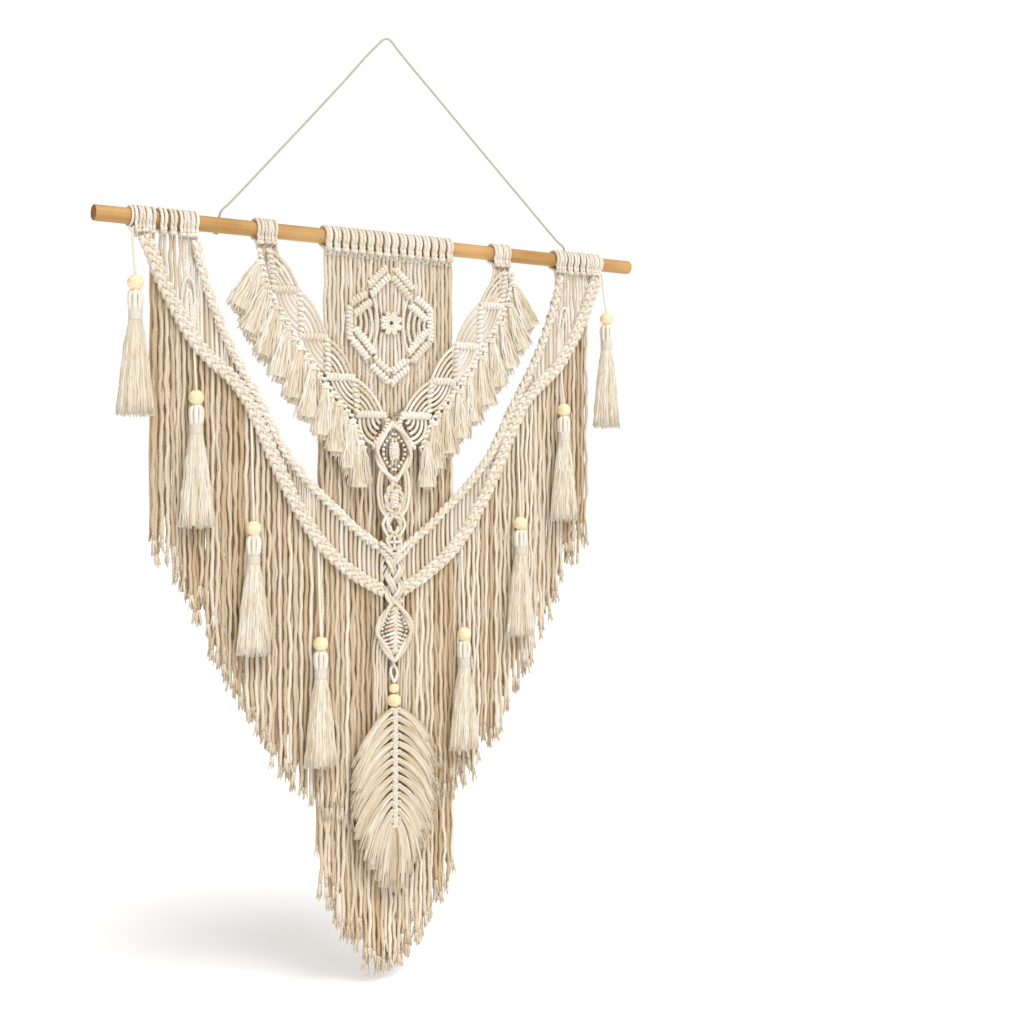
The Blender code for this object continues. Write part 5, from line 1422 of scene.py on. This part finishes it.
def add_skirt(bundle, middle):
    """Combed threads that hang round a soft core."""
    rng = bundle.rng
    angle = TURN * np.arange(SKIRT_SIDES) / SKIRT_SIDES
    rings = []
    for below, wide, deep in SKIRT:
        ridge = 1 + 0.05 * np.sin(angle * 9 + below * 0.02)
        ring = (wide * ridge * np.cos(angle), -deep * ridge * np.sin(angle), 0 * angle + below)
        rings.append(middle + np.stack(ring, axis=1))
    # the soft core, painted dark as shade among the threads
    bundle.surface(np.array(rings), shade=0.3, scale=(8.0, 1.0))
    count = bpy.context.scene.hanging_sizes.tassel_threads
    turn = TURN * (np.arange(count) * 0.618034 % 1.0)[:, None]
    share = np.linspace(0.0, 1.0, len(SKIRT_TAPER))[None]
    below = SKIRT_TOP - SKIRT_LENGTH * share * (1 + rng.uniform(-0.018, 0.012, (count, 1)))
    levels, widths, depths = np.transpose(SKIRT[::-1])
    wide = np.interp(below, levels, widths) * 1.03 + 0.35 + 1.6 * share ** 6
    deep = np.interp(below, levels, depths) * 1.03 + 0.35 + 0.8 * share ** 6
    inner = 1 - 0.12 * rng.uniform(0, 1, (count, 1)) * share
    drift = turn + rng.uniform(-0.12, 0.12, (count, 1)) * share
    arch = 2.2 * np.cos(turn) ** 2 * share ** 2
    x, y, z = middle
    lines = np.stack((x + wide * inner * np.cos(drift), y - deep * inner * np.sin(drift),
                      z + below + arch), axis=2)
    lines = wander(lines, rng, (1.0, 0.8), 40.0, reach=30.0)
    bundle.cords(lines, SKIRT_TAPER, sides=4, shade=(0.0, 1.0))


def add_crown(bundle, middle):
    """Cords folded over below the bead, side by side round a thicker core."""
    core = [middle + (0, 0, below) for below in CROWN_CORE]
    # the core is painted dark, as shade between the folded cords
    bundle.through(core, CROWN_CORE_RADIUS, (0.2, 0.45), 8, step=3.0)
    for number in range(CROWN_CORDS):
        turn = TURN * (number + 0.25) / CROWN_CORDS
        out = np.array((math.cos(turn), -math.sin(turn), 0.0))
        lift = bundle.rng.uniform(-1.0, 0.8)
        knots = [middle + out * radius + (0, 0, below + lift * (below > -15))
                 for below, radius in CROWN]
        bundle.through(knots, CROWN_CORD, (0.6, 1.0), 8, step=3.0)


def add_rod_tie(bundle, x):
    """The tassel's own cord, tied round the rod beside the heads."""
    t = np.linspace(0, TURN, 34)[:, None]
    radius = HEAD_LINE - 0.7
    ring = np.concatenate((x + 0.6 * np.sin(t), -radius * np.sin(t), -radius * np.cos(t)), axis=1)
    bundle.cords(ring, TASSEL_CORD, sides=8, shade=(0.5, 0.9))
    t = np.linspace(0, TURN, 16)[:, None]
    knot = np.concatenate((2.6 * np.sin(t), -3.2 * np.cos(t) - 1.0, 2.2 * np.sin(2 * t)), axis=1)
    bundle.cords(knot + (x, -7.0, -18.0), TASSEL_CORD, sides=8, shade=(0.6, 1.0))


def make_wrap(number, side, middle):
    """The smooth binding of thin cord wound round a tassel's neck."""
    bundle = half_bundle(120 + number * 2, side)
    t = np.linspace(0, TURN * WRAP_TURNS, 18 * WRAP_TURNS + 1)
    share = t / t[-1]
    radius = 8.05 + 0.35 * np.sin(share * math.pi)
    winding = (radius * np.cos(t), -radius * np.sin(t), WRAP_TOP - WRAP_HEIGHT * share)
    bundle.cords(middle + np.stack(winding, axis=1), WRAP_CORD, sides=6, shade=(0.7, 0.9))
    bundle.make(f"wound_neck_{number}_{side}", f"tassel_wrap_{number}_{side}", "twisted_cotton")


# ---- studio --------------------------------------------------------------------------
FLOOR_Z = -1.392                # just below the lowest strand, in metres
# directions that the light comes from, and how wide each light looks, in degrees
KEY_LIGHT = ((0.12, -0.85, 1.25), 40.0)
FILL_LIGHT = ((-1.0, -0.9, 0.35), 60.0)
WARM_GLOW = (1.0, 0.935, 0.84, 1.0)
FLOOR_REACH = (-40.0, 60.0)     # in metres, along x and y


def add_soft_light(name, source, strength):
    """A broad, distant light, so that the floor is lit evenly."""
    away, width = source
    lamp = bpy.data.lights.new(name, "SUN")
    lamp.angle = math.radians(width)
    lamp.energy = strength
    light = bpy.data.objects.new(name, lamp)
    flat = math.hypot(away[0], away[1])
    light.rotation_euler = (math.atan2(flat, away[2]), 0.0, math.atan2(away[0], -away[1]))
    bpy.context.scene.collection.objects.link(light)


def make_stage():
    """Pale floor, white surroundings that light the front more than the back, two soft lights."""
    lights = bpy.context.scene.hanging_lights
    near, far = FLOOR_REACH
    mesh = bpy.data.meshes.new("floor")
    mesh.from_pydata([(near, near, FLOOR_Z), (far, near, FLOOR_Z), (far, far, FLOOR_Z),
                      (near, far, FLOOR_Z)], [], [(0, 1, 2, 3)])
    mesh.materials.append(finish_named("pale_floor"))
    floor = bpy.data.objects.new("floor", mesh)
    bpy.context.scene.collection.objects.link(floor)
    add_soft_light("key_light", KEY_LIGHT, lights.key)
    add_soft_light("fill_light", FILL_LIGHT, lights.fill)
    bpy.context.scene.world = surroundings(lights)
    bpy.context.scene.view_settings.view_transform = "Standard"


def surroundings(lights):
    """A warm glow from all round, and a plain colour where the camera sees past the hanging."""
    world = bpy.data.worlds.new("studio")
    world.use_nodes = True
    nodes = Nodes(world.node_tree)
    nodes.tree.nodes.clear()
    way = nodes.add("ShaderNodeTexCoord", {}, "Generated")
    strength = nodes.add("ShaderNodeMapRange", {
        "Value": nodes.add("ShaderNodeSeparateXYZ", {0: way}, "Y"), "From Min": -0.6,
        "From Max": 0.6, "To Min": lights.front, "To Max": lights.behind},
        interpolation_type="SMOOTHSTEP")
    glow = nodes.add("ShaderNodeBackground", {"Color": WARM_GLOW, "Strength": strength})
    background = (*bpy.context.scene.hanging_colours.background, 1.0)
    seen = nodes.add("ShaderNodeBackground", {"Color": background, "Strength": 1.0})
    camera = nodes.add("ShaderNodeLightPath", {}, "Is Camera Ray")
    mix = nodes.add("ShaderNodeMixShader", {0: camera, 1: glow, 2: seen})
    out = nodes.tree.nodes.new("ShaderNodeOutputWorld")
    nodes.tree.links.new(mix, out.inputs["Surface"])
    return world


# ---- what a user may change ----------------------------------------------------------
def paint(name, description, default):
    """A colour that can be changed."""
    return bpy.props.FloatVectorProperty(name=name, description=description, default=default,
                                         subtype="COLOR", size=3, min=0.0, max=1.0)


def metres(name, description, default, low, high):
    """A length in metres that can be changed."""
    return bpy.props.FloatProperty(name=name, description=description, default=default, min=low,
                                   max=high, subtype="DISTANCE", unit="LENGTH")


def number_of(name, description, default, low, high):
    """A number of threads that can be changed."""
    return bpy.props.IntProperty(name=name, description=description, default=default, min=low,
                                 max=high)


def brightness(name, description, default):
    """The strength of a light that can be changed."""
    return bpy.props.FloatProperty(name=name, description=description, default=default, min=0.0)


class HangingSizes(bpy.types.PropertyGroup):
    """Sizes of the hanging's cords and threads."""
    cord_lay: metres("Cord lay", "Length of one turn of the twisted cord", 0.017, 0.004, 0.05)
    cord_relief: metres("Cord relief", "Depth of the grooves between the cord's plies", 0.0007,
                        0.0, 0.002)
    looseness: bpy.props.FloatProperty(
        name="Looseness", description="How far the strands of the fringes wander", default=1.0,
        min=0.0, max=2.0, subtype="FACTOR")
    tassel_threads: number_of("Tassel threads", "Combed threads on a tassel's skirt", 105, 24, 300)
    tuft_threads: number_of("Tuft threads", "Combed threads in a tuft of the garlands", 38, 8, 120)
    feather_threads: number_of("Feather threads", "Combed threads in a lock of the feather", 11,
                               4, 40)


class HangingColours(bpy.types.PropertyGroup):
    """Colours of the hanging and its studio."""
    cord: paint("Cord", "Colour of the twisted cotton cord", (0.89, 0.872, 0.832))
    fringe: paint("Fringe", "Colour of the twisted cord of the fringes", (0.905, 0.85, 0.75))
    combed: paint("Combed cotton", "Colour of the combed threads", (0.89, 0.88, 0.85))
    feather: paint("Feather", "Colour of the feather's combed threads", (0.80, 0.765, 0.70))
    string: paint("String", "Colour of the hanging string", (0.50, 0.475, 0.395))
    rod: paint("Rod", "Colour of the rod's wood", (0.50, 0.285, 0.105))
    bead: paint("Beads", "Colour of the beads' wood", (0.93, 0.80, 0.56))
    floor: paint("Floor", "Colour of the floor", (0.86, 0.88, 0.90))
    background: paint("Background", "Colour of the surroundings", (1.0, 1.0, 1.0))


class HangingLights(bpy.types.PropertyGroup):
    """Strengths of the studio's light."""
    key: brightness("Key light", "Strength of the light from the right", 2.6)
    fill: brightness("Fill light", "Strength of the light from the left", 0.3)
    floor_glow: brightness("Floor glow", "Light that the floor gives off, so that it is as "
                           "white as its surroundings", 0.45)
    front: brightness("Front", "Strength of the light all round the front", 0.45)
    behind: brightness("Behind", "Strength of the light from behind", 0.24)


# ---- operators -----------------------------------------------------------------------
class SetUpCamera(bpy.types.Operator):
    """Place the camera at the photograph's angle"""
    bl_idname = "macrame.camera"
    bl_label = "Camera"

    def execute(self, context):
        set_camera()
        return {"FINISHED"}


class MakeString(bpy.types.Operator):
    """Make the hanging string and its two knots"""
    bl_idname = "macrame.string"
    bl_label = "Hanging string"

    def execute(self, context):
        make_string()
        return {"FINISHED"}


class MakeRod(bpy.types.Operator):
    """Make the wooden rod"""
    bl_idname = "macrame.rod"
    bl_label = "Rod"

    def execute(self, context):
        make_rod()
        return {"FINISHED"}


class MakeCentrePanel(bpy.types.Operator):
    """Make the centre panel with its diamond and flower"""
    bl_idname = "macrame.centre_panel"
    bl_label = "Centre panel"

    def execute(self, context):
        make_centre_panel()
        return {"FINISHED"}


class MakeFringes(bpy.types.Operator):
    """Make the long centre fringe and the two side fringes"""
    bl_idname = "macrame.fringes"
    bl_label = "Fringes"

    def execute(self, context):
        make_centre_fringe()
        for side in ("left", "right"):
            make_side_fringe(side)
        return {"FINISHED"}


class MakeSidePanels(bpy.types.Operator):
    """Make the side panels with their braids"""
    bl_idname = "macrame.side_panels"
    bl_label = "Side panels"

    def execute(self, context):
        for side in ("left", "right"):
            make_side_panel(side)
        return {"FINISHED"}


class MakeGarlands(bpy.types.Operator):
    """Make the stepped garlands and their combed tufts"""
    bl_idname = "macrame.garlands"
    bl_label = "Garlands"

    def execute(self, context):
        for side in ("left", "right"):
            make_garland(side)
            make_tufts(side)
        return {"FINISHED"}


class MakeCentreColumn(bpy.types.Operator):
    """Make the column of knots in the middle"""
    bl_idname = "macrame.centre_column"
    bl_label = "Centre column"

    def execute(self, context):
        make_centre_column()
        return {"FINISHED"}


class MakeBeads(bpy.types.Operator):
    """Make the wooden beads"""
    bl_idname = "macrame.beads"
    bl_label = "Beads"

    def execute(self, context):
        make_beads()
        return {"FINISHED"}


class MakeFeather(bpy.types.Operator):
    """Make the combed feather"""
    bl_idname = "macrame.feather"
    bl_label = "Feather"

    def execute(self, context):
        make_feather()
        return {"FINISHED"}


class MakeTassels(bpy.types.Operator):
    """Make the eight tassels and their wound necks"""
    bl_idname = "macrame.tassels"
    bl_label = "Tassels"

    def execute(self, context):
        for side in ("left", "right"):
            for number, (x, bead_z, tied_to) in enumerate(TASSELS, 1):
                make_tassel(number, side, x, bead_z, tied_to)
        return {"FINISHED"}


class MakeStage(bpy.types.Operator):
    """Make the floor, the surroundings and the soft lights"""
    bl_idname = "macrame.stage"
    bl_label = "Stage"

    def execute(self, context):
        make_stage()
        return {"FINISHED"}


STEPS = (SetUpCamera, MakeString, MakeRod, MakeCentrePanel, MakeFringes, MakeSidePanels,
         MakeGarlands, MakeCentreColumn, MakeBeads, MakeFeather, MakeTassels, MakeStage)
GROUPS = (("hanging_sizes", HangingSizes), ("hanging_colours", HangingColours),
          ("hanging_lights", HangingLights))


class MacramePanel(bpy.types.Panel):
    """The hanging's sizes, colours and steps"""
    bl_idname = "VIEW3D_PT_macrame"
    bl_label = "Macrame wall hanging"
    bl_space_type = "VIEW_3D"
    bl_region_type = "UI"
    bl_category = "Macrame"

    def draw(self, context):
        for group, kind in GROUPS:
            box = self.layout.box()
            for setting in kind.__annotations__:
                box.prop(getattr(context.scene, group), setting)
        for step in STEPS:
            self.layout.operator(step.bl_idname)


def register():
    """Make the settings, the steps and the panel known."""
    for group, kind in GROUPS:
        bpy.utils.register_class(kind)
        setattr(bpy.types.Scene, group, bpy.props.PointerProperty(type=kind))
    for kind in (*STEPS, MacramePanel):
        bpy.utils.register_class(kind)


def unregister():
    """Take them away again, in the opposite order."""
    for kind in reversed((*STEPS, MacramePanel)):
        bpy.utils.unregister_class(kind)
    for group, kind in reversed(GROUPS):
        delattr(bpy.types.Scene, group)
        bpy.utils.unregister_class(kind)


def main():
    """Run every step."""
    register()
    for step in STEPS:
        getattr(bpy.ops.macrame, step.bl_idname.split(".")[1])()


if __name__ == "__main__":
    main()
